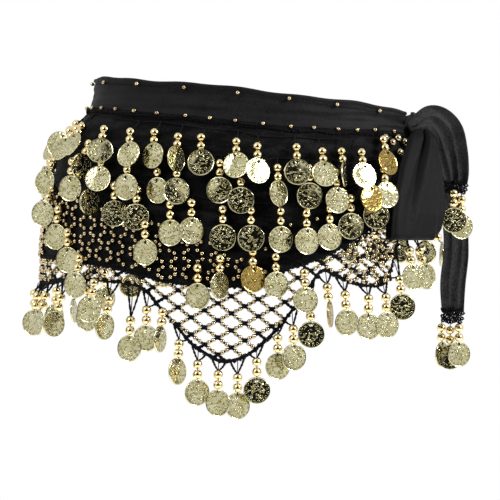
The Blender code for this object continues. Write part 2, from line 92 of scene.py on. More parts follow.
def make_room():
    """White world, dark inside a triangle about the direction of the camera, its point up."""
    world = bpy.data.worlds.new("studio")
    bpy.context.scene.world = world
    world.use_nodes = True
    tree = world.node_tree
    tree.nodes.clear()
    place = add_node(tree, "TexCoord").outputs["Generated"]
    split = add_node(tree, "SeparateXYZ", [("Vector", place)])
    x, y, z = split.outputs[0], split.outputs[1], split.outputs[2]
    calc = partial(math_node, tree)
    wide = calc("DIVIDE", calc("ABSOLUTE", x), DARK_WIDE)
    high = calc("DIVIDE", calc("SUBTRACT", z, DARK_BOTTOM), DARK_TOP - DARK_BOTTOM)
    sides = calc("ADD", wide, high)
    base = calc("SUBTRACT", 1.0, calc("MULTIPLY", high, 8.0))
    behind = calc("MULTIPLY", calc("GREATER_THAN", y, 0.0), 4.0)
    reach = calc("MAXIMUM", calc("MAXIMUM", sides, base), behind)
    shade = ramp_node(tree, reach, [(0.9, ROOM_DARK), (1.0, ROOM_WHITE)])
    seen = add_node(tree, "LightPath").outputs["Is Camera Ray"]
    light = add_node(tree, "Background", [("Color", shade), ("Strength", ROOM_STRENGTH)])
    backdrop = add_node(tree, "Background", [("Color", (*ROOM_WHITE, 1)), ("Strength", 1.0)])
    mixed = add_node(tree, "MixShader", [(0, seen), (1, light.outputs[0]), (2, backdrop.outputs[0])])
    output = add_node(tree, "OutputWorld")
    tree.links.new(mixed.outputs[0], output.inputs["Surface"])


def make_floor():
    """Round pale floor, well below the scarf."""
    turns = np.linspace(0, 2 * np.pi, 64, endpoint=False)
    rim = np.stack([FLOOR_RADIUS * np.cos(turns), FLOOR_RADIUS * np.sin(turns)], -1)
    points = np.column_stack([rim, np.full(len(turns), FLOOR_HEIGHT)]) * MM
    mesh = bpy.data.meshes.new("floor")
    mesh.from_pydata(points.tolist(), [], [list(range(len(turns)))])
    floor = bpy.data.objects.new("floor", mesh)
    bpy.context.collection.objects.link(floor)
    paint = bpy.data.materials.new("pale_floor")
    paint.use_nodes = True
    shader = paint.node_tree.nodes["Principled BSDF"]
    shader.inputs["Base Color"].default_value = (0.9, 0.9, 0.9, 1)
    shader.inputs["Roughness"].default_value = 0.8
    shader.inputs["Emission Color"].default_value = (1, 1, 1, 1)
    shader.inputs["Emission Strength"].default_value = 0.6
    mesh.materials.append(paint)


def add_light(name, place, target, size, power):
    data = bpy.data.lights.new(name, "AREA")
    data.shape = "DISK"
    data.size = size * MM
    data.energy = power
    light = bpy.data.objects.new(name, data)
    bpy.context.collection.objects.link(light)
    light.location = np.array(place) * MM
    x, y, z = np.array(target, float) - np.array(place, float)
    light.rotation_euler = (math.atan2(math.hypot(x, y), -z), 0, math.atan2(-x, y))


camera_data = bpy.data.cameras.new("camera")
camera_data.lens = CAMERA_LENS
camera_data.sensor_width = 36
camera = bpy.data.objects.new("camera", camera_data)
bpy.context.collection.objects.link(camera)
camera.location = np.array(CAMERA_PLACE) * MM
camera.rotation_euler = (math.radians(90), 0, 0)
bpy.context.scene.camera = camera
bpy.context.scene.view_settings.view_transform = "Standard"
make_room()
make_floor()
add_light("left_softbox", (-1700, -1500, 1300), (0, 0, -100), 900, 20)
add_light("right_softbox", (1900, -900, 900), (0, 0, -100), 700, 46)


# Waistband: black crepe folded double, its upper edge rolled and its lower edge sewn to the
# velvet. It was drawn round the waist and tied, so long soft creases run along it and gather
# towards the knot.
FIGURE = {
    "below": (-6, 0, 30, 65, 105, 150, 190, 300),
    "half_width": (150, 150, 154, 173, 181, 188, 191, 191),
    "half_depth": (110, 110, 114, 127, 133, 137, 139, 139),
    "shift": (0, 0, -2, -7, -10, -11, -11, -11),
}
TOP = 15
SLOPE = 0.11
KNOT_ANGLE = 72
FAR_END = KNOT_ANGLE - 360
END_GAP = 4.5
KNOT_SPREAD = 25
CUT = {
    "angle": (-288, -266, -250, -238, -220, -200, -180, -160, -140, -124, -108, -56, -38, -28,
              -20, -12, -4, 4, 10, 16, 22, 28, 38, 44, 50, 60, 67.5),
    "seam": (22, 23, 27, 29, 30, 31, 31, 30, 30, 30, 30, 30, 31, 31,
             31, 31, 31, 31, 31, 30, 29, 28, 26, 24, 23, 22, 22),
    "hem": (80, 80, 80, 81, 84, 92, 106, 124, 148, 165, 172, 172, 175, 179,
            182, 182, 180, 174, 162, 153, 144, 134, 115, 106, 98, 87, 80),
    "edge": (94, 94, 94, 95, 98, 106, 121, 141, 168, 190, 198, 192, 188, 192,
             216, 240, 248, 232, 210, 184, 158, 163, 166, 158, 119, 98, 94),
}
HIPS_BELOW = 190
COLUMN = 1.6
BAND_CLOTH = 2.0
ROLL_OUT = 1.6
ROLL_UP = 1.9
BAND_ROWS = 20
BAND_WAVES = ((0.7, 7), (0.5, 17))
BAND_CREASES = (
    # height, creases across the band, turns round the waist, phase
    (0.45, 1.6, 3, 0.4),
    (0.30, 2.7, -5, 1.9),
    (0.22, 4.3, 8, 3.1),
    (0.16, 0.7, 21, 0.8),
)
CREPE_COLOUR = ((0.0022, 0.0022, 0.0024), (0.0120, 0.0120, 0.0125))


def unit(vectors):
    """Each vector made one long."""
    return vectors / np.linalg.norm(vectors, axis=-1, keepdims=True)


def running_length(points):
    """Length from the first point to each."""
    return np.concatenate([[0], np.cumsum(np.linalg.norm(np.diff(points, axis=0), axis=1))])


def smooth(table_x, table_y, x):
    """Read a table between its rows on cubic curves, whose slopes at each row are the table's own."""
    xs = np.asarray(table_x, float)
    ys = np.asarray(table_y, float)
    x = np.clip(np.asarray(x, float), xs[0], xs[-1])
    slopes = np.gradient(ys, xs)
    i = np.clip(np.searchsorted(xs, x, side="right") - 1, 0, len(xs) - 2)
    h = xs[i + 1] - xs[i]
    t = (x - xs[i]) / h
    start = (2 * t**3 - 3 * t**2 + 1) * ys[i] + (t**3 - 2 * t**2 + t) * h * slopes[i]
    end = (3 * t**2 - 2 * t**3) * ys[i + 1] + (t**3 - t**2) * h * slopes[i + 1]
    return start + end


def on_figure(angle, below, out=0.0):
    """Point on the worn figure: an ellipse for each level, moved out along its level normal.

    x is shift + a sin t, and y is -b cos t, plus out times the normal's two parts. z falls with
    the level below the top and leans over with x.
    """
    a = smooth(FIGURE["below"], FIGURE["half_width"], below)
    b = smooth(FIGURE["below"], FIGURE["half_depth"], below)
    t = np.radians(angle)
    normal_x = b * np.sin(t)
    normal_y = -a * np.cos(t)
    length = np.hypot(normal_x, normal_y)
    x = smooth(FIGURE["below"], FIGURE["shift"], below) + a * np.sin(t) + out * normal_x / length
    y = -b * np.cos(t) + out * normal_y / length
    return np.stack([x, y, TOP - below - SLOPE * x], -1)


def cut_line(column, angle):
    """Distance of a cut line below the top."""
    return smooth(CUT["angle"], CUT[column], angle)


def grid_block(points, lengths, closed=False):
    """Quads of a grid of points, rows by columns, its last column joined to the first if closed.

    A quad's normal is its way along the columns crossed with its way along the rows. UVs are
    the two lists of lengths: along the columns, and along the rows.
    """
    rows, columns = points.shape[:2]
    last = columns if closed else columns - 1
    r, c = np.meshgrid(np.arange(rows - 1), np.arange(last), indexing="ij")
    d = (c + 1) % columns
    quads = np.stack([r * columns + c, r * columns + d, (r + 1) * columns + d, (r + 1) * columns + c], -1)
    across, along = lengths
    u = np.stack([across[c], across[c + 1], across[c + 1], across[c]], -1)
    v = np.stack([along[r], along[r], along[r + 1], along[r + 1]], -1)
    return points.reshape(-1, 3), [(quads.reshape(-1, 4), np.stack([u, v], -1).reshape(-1, 4, 2))]


def make_piece(name, blocks, look, node=None):
    """One mesh from blocks of points, faces and UVs. It stands for a CAD node, if one is named."""
    points = np.concatenate([block[0] for block in blocks]) * MM
    starts = np.cumsum([0] + [len(block[0]) for block in blocks])
    faces = [(quads + start, uv) for start, block in zip(starts, blocks) for quads, uv in block[1]]
    corners = np.concatenate([quads.ravel() for quads, _ in faces])
    sizes = np.concatenate([np.full(len(quads), quads.shape[1]) for quads, _ in faces])
    mesh = bpy.data.meshes.new(name)
    mesh.vertices.add(len(points))
    mesh.vertices.foreach_set("co", points.ravel())
    mesh.loops.add(len(corners))
    mesh.loops.foreach_set("vertex_index", corners)
    mesh.polygons.add(len(sizes))
    mesh.polygons.foreach_set("loop_start", np.concatenate([[0], np.cumsum(sizes)[:-1]]))
    mesh.polygons.foreach_set("loop_total", sizes)
    layer = mesh.uv_layers.new(name="cut")
    layer.data.foreach_set("uv", np.concatenate([uv.reshape(-1) for _, uv in faces]))
    mesh.polygons.foreach_set("use_smooth", np.ones(len(sizes), bool))
    mesh.update(calc_edges=True)
    mesh.validate()
    mesh.materials.append(look)
    piece = bpy.data.objects.new(name, mesh)
    bpy.context.collection.objects.link(piece)
    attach(piece, "root")
    if node:
        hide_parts(node)
    return piece


def new_look(name):
    """A material, its node tree and its shader."""
    look = bpy.data.materials.new(name)
    look.use_nodes = True
    return look, look.node_tree, look.node_tree.nodes["Principled BSDF"]


def noise(tree, place, scale, detail=3.0, stretch=(1, 1, 1)):
    """Noise on the piece's own coordinates, in grains per metre, stretched along its axes."""
    spread = add_node(tree, "Mapping", [("Vector", place), ("Scale", stretch)], vector_type="POINT")
    made = add_node(tree, "TexNoise", [("Vector", spread.outputs[0]), ("Scale", scale), ("Detail", detail)])
    return made.outputs["Fac"]


def bump(tree, shader, height, distance, strength=1.0, under=None):
    inputs = [("Height", height), ("Distance", distance * MM), ("Strength", strength)]
    if under:
        inputs.append(("Normal", under))
    made = add_node(tree, "Bump", inputs)
    tree.links.new(made.outputs[0], shader.inputs["Normal"])
    return made.outputs[0]


def crepe_look(name, share=1.0):
    """Black crepe: a pebbled grain under a millimetre across, on slightly uneven black.

    share scales the black: below 1 it is painted shade, above 1 painted light.
    """
    look, tree, shader = new_look(name)
    place = add_node(tree, "TexCoord").outputs["Object"]
    grain = noise(tree, place, 950, 2, (1, 1, 0.6))
    patches = noise(tree, place, 60, 3)
    calc = partial(math_node, tree)
    mixed = calc("ADD", calc("MULTIPLY", grain, 0.7), calc("MULTIPLY", patches, 0.3))
    # share scales both blacks: painted shade below 1, painted light above 1.
    dark, pale = (tuple(share * part for part in colour) for colour in CREPE_COLOUR)
    colour = ramp_node(tree, mixed, [(0.36, dark), (0.66, pale)])
    tree.links.new(colour, shader.inputs["Base Color"])
    rough = ramp_node(tree, grain, [(0.3, 0.5), (0.7, 0.7)])
    tree.links.new(rough, shader.inputs["Roughness"])
    shader.inputs["Specular IOR Level"].default_value = 0.10
    shader.inputs["Sheen Weight"].default_value = 0.03
    shader.inputs["Sheen Roughness"].default_value = 0.5
    bump(tree, shader, grain, 0.5, 0.8)
    return look


def angle_columns(pitch):
    """Angles from end to end, and the length to each, about a pitch apart at the hips."""
    fine = np.linspace(FAR_END + END_GAP, KNOT_ANGLE - END_GAP, 2001)
    lengths = running_length(on_figure(fine, HIPS_BELOW))
    even = np.linspace(0, lengths[-1], int(lengths[-1] / pitch) + 1)
    return np.interp(even, lengths, fine), even


def share_round(angles):
    """Share of a full turn from the knot, all the way round."""
    return (angles - FAR_END) / 360


def waves(table, across, along):
    """Sum of sine waves: height sin(2 pi (count across + turns along) + phase)."""
    return sum(
        height * np.sin(2 * np.pi * (count * across + turns * along) + phase)
        for height, count, turns, phase in table
    )


def wall_block(outer, inner, lengths):
    """Closed wall from outer and inner rows of points, bottom to top and back down, with flat ends."""
    rows = np.concatenate([outer, inner])
    count, columns = rows.shape[:2]
    heights = running_length(rows[:, columns // 2])
    ring = np.concatenate([rows, rows[:1]])
    heights = np.append(heights, heights[-1] + np.linalg.norm(rows[0, columns // 2] - rows[-1, columns // 2]))
    _, faces = grid_block(ring, (lengths * MM, heights * MM))
    quads, uv = faces[0]
    quads = quads % (count * columns)
    first = np.arange(count)[None] * columns
    ends = np.concatenate([first, first[:, ::-1] + columns - 1])
    faces = [(quads, uv), (ends, np.zeros((2, count, 2)))]
    return rows.reshape(-1, 3), faces


def make_waistband():
    """Outer rows with creases, a half turn over the rolled edge, and plain inner rows."""
    angles, lengths = angle_columns(COLUMN)
    seam = cut_line("seam", angles) - 0.4
    edge = sum(height * np.sin(np.radians(angles * count)) for height, count in BAND_WAVES)
    along = share_round(angles)
    shares = np.linspace(1, 0.13, BAND_ROWS)[:, None]
    near_knot = sum(np.exp(-(((angles - end) / KNOT_SPREAD) ** 2)) for end in (angles[-1], angles[0]))
    crease = waves(BAND_CREASES, shares, along) * (1 + 0.8 * near_knot)
    gather = 0.55 * near_knot * np.sin(2 * np.pi * 3.2 * shares)
    outs = BAND_CLOTH - 0.1 + (crease + gather) * np.sin(np.pi * np.clip(shares, 0, 1)) ** 0.5
    outer = on_figure(angles, edge + shares * (seam - edge), outs)
    turns = np.radians(np.linspace(-20, 200, 12))[:, None]
    roll_below = edge + ROLL_UP - ROLL_UP * np.sin(turns) - 0.6
    roll_out = ROLL_OUT + ROLL_OUT * np.cos(turns) + 0.15 * np.sin(2 * np.pi * along * 60)
    roll = on_figure(angles, roll_below, roll_out)
    inner_shares = np.array([0.3, 0.6, 1.0])[:, None]
    inner = on_figure(angles, edge + inner_shares * (seam - edge))
    block = wall_block(np.concatenate([outer, roll]), inner, lengths)
    return make_piece("crepe_waistband", [block], crepe_look("black_crepe"), "waistband")


waistband = make_waistband()


# Velvet panel: the skirt of the scarf, one cut piece of black velvet with a short nap. It hangs
# from the waistband's seam, and shallow drapes run down and across it.
VELVET_CLOTH = 1.7
VELVET_ROWS = 60
VELVET_DRAPES = (
    (0.35, 1.3, 9, 0.2),
    (0.28, 0.4, -17, 1.1),
    (0.22, 3.1, 14, 2.6),
    (0.20, 5.2, -8, 0.5),
    (0.14, 8.0, 19, 4.0),
)
VELVET_BLACK_AND_PAINTED_SHEEN = ((0.0010, 0.0010, 0.0012), (0.0160, 0.0160, 0.0165))


def velvet_look():
    """Black velvet: a fine nap that lies in brushed patches, with sheen where it turns away, and a painted
    sheen: its colour is lighter in specks where the brushed patches and the nap are high.
    """
    look, tree, shader = new_look("black_velvet")
    place = add_node(tree, "TexCoord").outputs["Object"]
    nap = noise(tree, place, 1100, 3, (1, 1, 0.4))
    brushed = noise(tree, place, 75, 5, (0.45, 0.45, 1.8))
    calc = partial(math_node, tree)
    tone_and_painted_sheen = calc("ADD", calc("MULTIPLY", brushed, 0.6), calc("MULTIPLY", nap, 0.4))
    # Colour: the black varies at random, and its lightest specks, where the brushed patches and the nap are
    # both high, are a painted sheen.
    colour = ramp_node(tree, tone_and_painted_sheen, [(0.46, VELVET_BLACK_AND_PAINTED_SHEEN[0]), (0.70, VELVET_BLACK_AND_PAINTED_SHEEN[1])])
    tree.links.new(colour, shader.inputs["Base Color"])
    shader.inputs["Roughness"].default_value = 0.7
    shader.inputs["Specular IOR Level"].default_value = 0.06
    shader.inputs["Sheen Weight"].default_value = 0.025
    shader.inputs["Sheen Roughness"].default_value = 0.3
    first = bump(tree, shader, brushed, 2.5, 0.8)
    bump(tree, shader, nap, 0.5, 0.8, first)
    return look


def make_velvet():
    """Outer rows with drapes from the hem up to the seam, and plain inner rows."""
    angles, lengths = angle_columns(COLUMN)
    seam = cut_line("seam", angles)
    hem = cut_line("hem", angles)
    along = share_round(angles)
    shares = np.linspace(1, 0, VELVET_ROWS)[:, None]
    drape = waves(VELVET_DRAPES, shares, along) * (0.4 + 0.6 * shares)
    outer = on_figure(angles, seam + shares * (hem - seam), VELVET_CLOTH + drape)
    inner_shares = np.linspace(0, 1, 12)[:, None]
    inner = on_figure(angles, seam + inner_shares * (hem - seam))
    block = wall_block(outer, inner, lengths)
    return make_piece("velvet_skirt", [block], velvet_look(), "velvet_panel")


velvet = make_velvet()


# Net: crocheted from a thick black thread, in diamonds that hang from the velvet's hem down to
# a plain border. Each side of a diamond is a short chain, and the chains cross in a small knot.
CELL_WIDTH = 24
CELL_HEIGHT = 15.3
CELL_START = 181
NET_STAND = 1.0
PLY = 0.95
CHAIN_POINTS = 9
CHAIN_TWISTS = 1.5
CHAIN_OFFSET = 0.9
STITCH_LONG = 2.0
STITCH_WIDE = 1.0
STITCH_PLY = 0.5
BORDER_PLY = 0.95
CORD_BLACK_AND_PAINTED_GROOVE_SHADE = ((0.0010, 0.0010, 0.0016), (0.0040, 0.0040, 0.0060))
NET_SPLIT = -100.3


ARC_ANGLES = np.linspace(FAR_END, KNOT_ANGLE, 721)
ARC_LENGTHS = running_length(on_figure(ARC_ANGLES, HIPS_BELOW)[:, :2])


def arc_at(angle):
    """Arc length to an angle, level round the hips."""
    return np.interp(angle, ARC_ANGLES, ARC_LENGTHS)


def angle_at(along):
    """Angle at an arc length round the hips."""
    return np.interp(along, ARC_LENGTHS, ARC_ANGLES)


def net_point(along, below, out):
    """Point of the figure at an arc length and a level."""
    return on_figure(angle_at(along), below, out)


def tube_block(paths, radii, sides, tangents=None, ups=None):
    """Closed tubes along many paths at once: rings of radius r about each point of each path.

    A ring's points are p + r (cos(turn) side + sin(turn) up), with side and up square to the
    path's own direction. Both ends are capped. UVs are the share round and the length along.
    """
    count, steps = paths.shape[:2]
    if tangents is None:
        tangents = np.gradient(paths, axis=1)
    tangents = unit(tangents)
    if ups is None:
        ups = np.where(np.abs(tangents[..., 2:]) > 0.9, (0.0, -1.0, 0.0), (0.0, 0.0, 1.0))
    side = unit(np.cross(ups, tangents))
    up = np.cross(tangents, side)
    turns = np.linspace(0, 2 * np.pi, sides, endpoint=False)
    radii = np.broadcast_to(radii, (count, steps))[..., None, None]
    circle = np.cos(turns)[:, None] * side[:, :, None] + np.sin(turns)[:, None] * up[:, :, None]
    points = paths[:, :, None] + radii * circle
    along = np.linalg.norm(np.diff(paths, axis=1), axis=-1).mean(axis=0)
    lengths = (np.linspace(0, 1, sides + 1), np.concatenate([[0], np.cumsum(along)]) * MM)
    _, faces = grid_block(points[0], lengths, closed=True)
    quads, uv = faces[0]
    starts = np.arange(count)[:, None, None] * steps * sides
    ring = np.arange(sides)
    ends = np.stack([ring[::-1], ring + (steps - 1) * sides]) + starts
    return points.reshape(-1, 3), [
        ((quads + starts).reshape(-1, 4), np.tile(uv, (count, 1, 1))),
        (ends.reshape(-1, sides), np.zeros((2 * count, sides, 2))),
    ]


def diamond_sides(columns, rows):
    """Both ends of every diamond's side, as an arc length and a level.

    Crossings stand at whole steps of half a cell's width and height whose sum is odd. Each is
    joined to the crossings below it, left and right.
    """
    i, j = (grid.ravel() for grid in np.meshgrid(columns, rows))
    odd = (i + j) % 2 == 1
    first = np.stack([i[odd] * CELL_WIDTH / 2, CELL_START + j[odd] * CELL_HEIGHT / 2], -1)
    return np.concatenate([
        np.stack([first, first + (step * CELL_WIDTH / 2, CELL_HEIGHT / 2)], 1) for step in (-1, 1)
    ])


def net_sides(start, end):
    """The diamonds' sides between two angles, cut off at the hem and at the border."""
    low, high = arc_at((start, end))
    columns = np.arange(math.floor(low / (CELL_WIDTH / 2)) - 1, math.ceil(high / (CELL_WIDTH / 2)) + 2)
    sides = diamond_sides(columns, np.arange(-14, 12))
    middle = sides.mean(axis=1)[:, 0]
    sides = sides[(middle > low) & (middle < high)]
    for column, sign in (("hem", 1), ("edge", -1)):
        depth = sign * (sides[..., 1] - cut_line(column, angle_at(sides[..., 0])))
        kept = depth.max(axis=1) > 1
        sides, depth = sides[kept], depth[kept]
        share = np.clip(depth[:, 0] / (depth[:, 0] - depth[:, 1]), 0, 1)[:, None]
        crossing = sides[:, 0] + share * (sides[:, 1] - sides[:, 0])
        sides = np.where((depth < 0)[..., None], crossing[:, None], sides)
    return sides


def cord_look():
    """Matt black crochet thread with a navy cast, its strands wound round it, and a little fuzz, darker in
    the grooves between the strands: painted shade.
    """
    look, tree, shader = new_look("black_thread")
    coordinates = add_node(tree, "TexCoord")
    split = add_node(tree, "SeparateXYZ", [("Vector", coordinates.outputs["UV"])])
    calc = partial(math_node, tree)
    wound = calc("ADD", split.outputs[0], calc("MULTIPLY", split.outputs[1], 900.0))
    strands = calc("ABSOLUTE", calc("SINE", calc("MULTIPLY", wound, 6.2832)))
    fuzz = noise(tree, coordinates.outputs["Object"], 1800, 3)
    height = calc("ADD", calc("MULTIPLY", strands, 0.6), fuzz)
    # Colour follows the relief: painted shade in the grooves between the strands, and random tone from the
    # fuzz.
    colour = ramp_node(tree, height, [(0.35, CORD_BLACK_AND_PAINTED_GROOVE_SHADE[0]), (0.95, CORD_BLACK_AND_PAINTED_GROOVE_SHADE[1])])
    tree.links.new(colour, shader.inputs["Base Color"])
    shader.inputs["Roughness"].default_value = 0.7
    shader.inputs["Specular IOR Level"].default_value = 0.12
    shader.inputs["Sheen Weight"].default_value = 0.02
    bump(tree, shader, height, 0.3, 0.7)
    return look


def chain_blocks(sides):
    """Two strands twisted about each other along every side, thicker at the ends."""
    share = np.linspace(0, 1, CHAIN_POINTS)
    line = sides[:, :1] + share[:, None] * (sides[:, 1:] - sides[:, :1])
    direction = sides[:, 1] - sides[:, 0]
    normal = unit(np.stack([-direction[:, 1], direction[:, 0]], -1))
    sag = 0.5 * np.sin(np.pi * share)
    blocks = []
    for strand in (0, 1):
        turn = 2 * np.pi * (CHAIN_TWISTS * share + strand / 2)
        flat = line + normal[:, None] * (CHAIN_OFFSET * np.cos(turn))[:, None]
        out = NET_STAND + CHAIN_OFFSET * np.sin(turn)
        radius = PLY * (1 + 0.25 * (2 * share - 1) ** 4)
        blocks.append(tube_block(net_point(flat[..., 0], flat[..., 1] + sag, out), radius, 5))
    return blocks


def bead_block(middles, axes, radius, profile, sides):
    """Beads turned about their axes from a profile of radius and height, in shares of the radius."""
    profile = np.array(profile)
    radius = np.broadcast_to(radius, len(middles))
    paths = middles[:, None] + axes[:, None] * (radius[:, None] * profile[:, 1])[..., None]
    tangents = np.broadcast_to(axes[:, None], paths.shape)
    return tube_block(paths, radius[:, None] * profile[:, 0], sides, tangents)


def stitch_block(middles, outward, spin):
    """Crochet stitches: three small loops of thread about each middle, each turned its own way.

    A loop's points are middle + long cos(t) one + wide sin(t) two, where one and two are square
    to each other and turn with the loop's number and the stitch's own spin.
    """
    upward = np.array((0.0, 0.0, 1.0))
    level = unit(np.cross(upward, outward))
    blocks = []
    for number in range(3):
        turn = (spin + number * 1.1)[:, None]
        tilt = 0.6 * np.sin(3 * spin + 2 * number)[:, None]
        one = np.cos(turn) * level + np.sin(turn) * upward
        two = np.cross(outward, one) * np.cos(tilt) + outward * np.sin(tilt)
        t = np.linspace(0.2, 2 * np.pi, 8)[:, None]
        shift = 0.5 * np.cos(5 * spin + number)[:, None] * level + 0.5 * outward * (number % 2)
        loops = (middles + shift)[:, None] + STITCH_LONG * np.cos(t) * one[:, None]
        loops = loops + STITCH_WIDE * np.sin(t) * two[:, None]
        blocks.append(tube_block(loops, STITCH_PLY, 3))
    return blocks


def stitches_at(angle, below, stand, spin):
    """Lumps of stitches at points of the figure."""
    middles = on_figure(angle, below, stand)
    return stitch_block(middles, on_figure(angle, below, stand + 1) - middles, spin)


def crossing_blocks(sides, stand, spins):
    """A lump of stitches where sides meet, spun by its place."""
    ends = np.unique(np.round(sides.reshape(-1, 2), 2), axis=0)
    return stitches_at(angle_at(ends[:, 0]), ends[:, 1], stand, spins[0] * ends[:, 0] + spins[1] * ends[:, 1])


def border_blocks(column, start, end, shift, radius):
    """A border along a cut line: three uneven strands that swap places, with stitches on it."""
    low, high = arc_at((start, end))
    along = np.arange(low, high, 0.9)
    angle = angle_at(along)
    blocks = []
    for strand in range(3):
        turn = 2 * np.pi * (along / 5.2 + strand / 3) + 0.8 * np.sin(along / 7)
        below = cut_line(column, angle) + shift + 0.9 * np.sin(turn) + 0.4 * np.sin(along / 4.1)
        out = NET_STAND + 0.5 * np.sin(2 * turn)
        blocks.append(tube_block(on_figure(angle, below, out)[None], radius, 5))
    places = np.arange(low + 1, high, 4.4)
    angle = angle_at(places)
    below = cut_line(column, angle) + shift + 0.6 * np.sin(places)
    return blocks + stitches_at(angle, below, NET_STAND, 0.9 * places)


thread_black = cord_look()
NET_HALVES = (
    ("front", "net_front", NET_SPLIT, KNOT_ANGLE - END_GAP),
    ("behind", "net_back", FAR_END + END_GAP, NET_SPLIT),
)
for name, node, start, end in NET_HALVES:
    sides = net_sides(start, end)
    blocks = [*chain_blocks(sides), *crossing_blocks(sides, NET_STAND, (0.7, 1.3))]
    blocks += border_blocks("edge", start, end, -0.6, BORDER_PLY)
    blocks += border_blocks("hem", start, end, 0.6, BORDER_PLY * 0.7)
    make_piece("net_" + name + "_crochet", blocks, thread_black, node)


# Small beads threaded on the net, two on each side of every diamond.
SMALL_BEAD = 2.1
SMALL_BEAD_PROFILE = ((0.35, -0.93), (0.85, -0.55), (1.0, 0.0), (0.85, 0.55), (0.35, 0.93))
SMALL_BEAD_SHARES = (0.33, 0.66)
SHORTEST_BEADED = 11
SMALL_BEAD_COLOUR = ((0.36, 0.28, 0.15), (0.64, 0.53, 0.33))


def gold_look(name, colours, roughness):
    """Pale gold plate: light wear in patches, and a fine grain that blurs what it reflects."""
    look, tree, shader = new_look(name)
    place = add_node(tree, "TexCoord").outputs["Object"]
    patches = noise(tree, place, 120, 4)
    grain = noise(tree, place, 2500, 2)
    colour = ramp_node(tree, patches, [(0.35, colours[0]), (0.65, colours[1])])
    tree.links.new(colour, shader.inputs["Base Color"])
    shader.inputs["Metallic"].default_value = 1.0
    rough = ramp_node(tree, patches, [(0.3, roughness[0]), (0.7, roughness[1])])
    tree.links.new(rough, shader.inputs["Roughness"])
    bump(tree, shader, grain, 0.02, 0.15)
    return look


def side_beads(sides, out, lower, reach):
    """Two small beads on each side, hung a little lower than it, their holes along it.

    reach is the share of the side from a bead to the point that its hole looks at.
    """
    points = []
    for start in SMALL_BEAD_SHARES:
        for share in (start, min(start + reach, 1)):
            spot = sides[:, 0] + share * (sides[:, 1] - sides[:, 0])
            points.append(net_point(spot[:, 0], spot[:, 1] + lower, out))
    middles = np.concatenate(points[::2])
    axes = unit(np.concatenate(points[1::2]) - middles)
    return bead_block(middles, axes, SMALL_BEAD, SMALL_BEAD_PROFILE, 8)


small_bead_gold = gold_look("small_bead_gold", SMALL_BEAD_COLOUR, (0.04, 0.09))
for name, _, start, end in NET_HALVES:
    sides = net_sides(start, end)
    sides = sides[np.linalg.norm(sides[:, 1] - sides[:, 0], axis=1) > SHORTEST_BEADED]
    beads = side_beads(sides, NET_STAND + 0.6, 0.4, 0.05)
    make_piece("net_beads_" + name, [beads], small_bead_gold)


# Gathered net: at the viewer's right the net is drawn up under the knot, so a second, crooked
# layer of its diamonds lies over the first, with its own beads.
GATHER_START = 27
GATHER_STAND = 3.6


def gathered_sides():
    """The net's sides near the knot, moved by slow waves so that they cross the layer beneath."""
    sides = net_sides(GATHER_START, KNOT_ANGLE - END_GAP - 2)
    along, below = sides[..., 0], sides[..., 1]
    along, below = (
        along + 5.5 + 3.0 * np.sin(below / 8),
        below + 4.0 * np.sin(along / 13 + 1) - 2.0 * np.cos(along / 5),
    )
    angle = angle_at(along)
    kept = (below > cut_line("hem", angle) - 6) & (below < cut_line("edge", angle) + 2)
    kept &= angle < KNOT_ANGLE - END_GAP
    return np.stack([along, below], -1)[kept.all(axis=1)]


def laid_thread(sides, out, radius):
    """A thread along each side, at one height off the figure."""
    share = np.linspace(0, 1, 6)[:, None]
    lines = sides[:, :1] + share * (sides[:, 1:] - sides[:, :1])
    return tube_block(net_point(lines[..., 0], lines[..., 1], out), radius, 5)


gathered = gathered_sides()
blocks = [laid_thread(gathered, GATHER_STAND, 1.0), *crossing_blocks(gathered, GATHER_STAND, (0.9, 1.1))]
make_piece("net_gathered_crochet", blocks, thread_black)
beads = side_beads(gathered, GATHER_STAND + 0.6, 0.0, 1.0)
make_piece("net_gathered_beads", [beads], small_bead_gold)


# Seam trim: a crocheted braid sewn over the seam, with a small gold bead every few centimetres,
# and more beads along the band's upper edge.
SEAM_BEADS = (
    -73, -63.5, -53.8, -44, -34, -23, -14.5, -6, 3.2, 12.5, 20.5, 29.5, 37.2, 45.5, 56.2,
)
TOP_BEADS = (-66, -45, -25, -6, 11.5, 29, 48)
TRIM_BEHIND = np.arange(-275, -80, 9.5)
TOP_BEHIND = np.arange(-270, -80, 20.0)
TRIM_STAND = 3.0
STITCH_PITCH = 4.2
STITCH_SHARE = 0.6


def trim_blocks():
    """Two wavy strands along the seam with loose stitches between them."""
    angles, lengths = angle_columns(1.1)
    blocks = []
    for strand in (0, 1):
        turn = 2 * np.pi * (lengths / 4.6 + strand / 2) + 0.9 * np.sin(lengths / 11)
        below = cut_line("seam", angles) + 1.6 + 1.0 * np.sin(turn) + 0.5 * np.sin(lengths / 6.3)
        path = on_figure(angles, below, TRIM_STAND - 0.4 + 0.5 * np.cos(turn))
        blocks.append(tube_block(path[None], 0.5, 5))
    places = np.arange(2, lengths[-1] - 2, 4.0)
    angle = np.interp(places, lengths, angles)
    below = cut_line("seam", angle) + 1.8 + 0.8 * np.sin(1.7 * places)
    return blocks + stitches_at(angle, below, TRIM_STAND - 0.5, 0.8 * places)


def spot_beads(name, angles, levels, out, radius):
    """Single beads sewn on at given angles and levels, their holes level."""
    angles, levels = np.array(angles, float), np.array(levels, float)
    middles = on_figure(angles, levels, out)
    axes = unit(on_figure(angles + 1.0, levels, out) - middles)
    make_piece(name, [bead_block(middles, axes, radius, SMALL_BEAD_PROFILE, 10)], small_bead_gold)


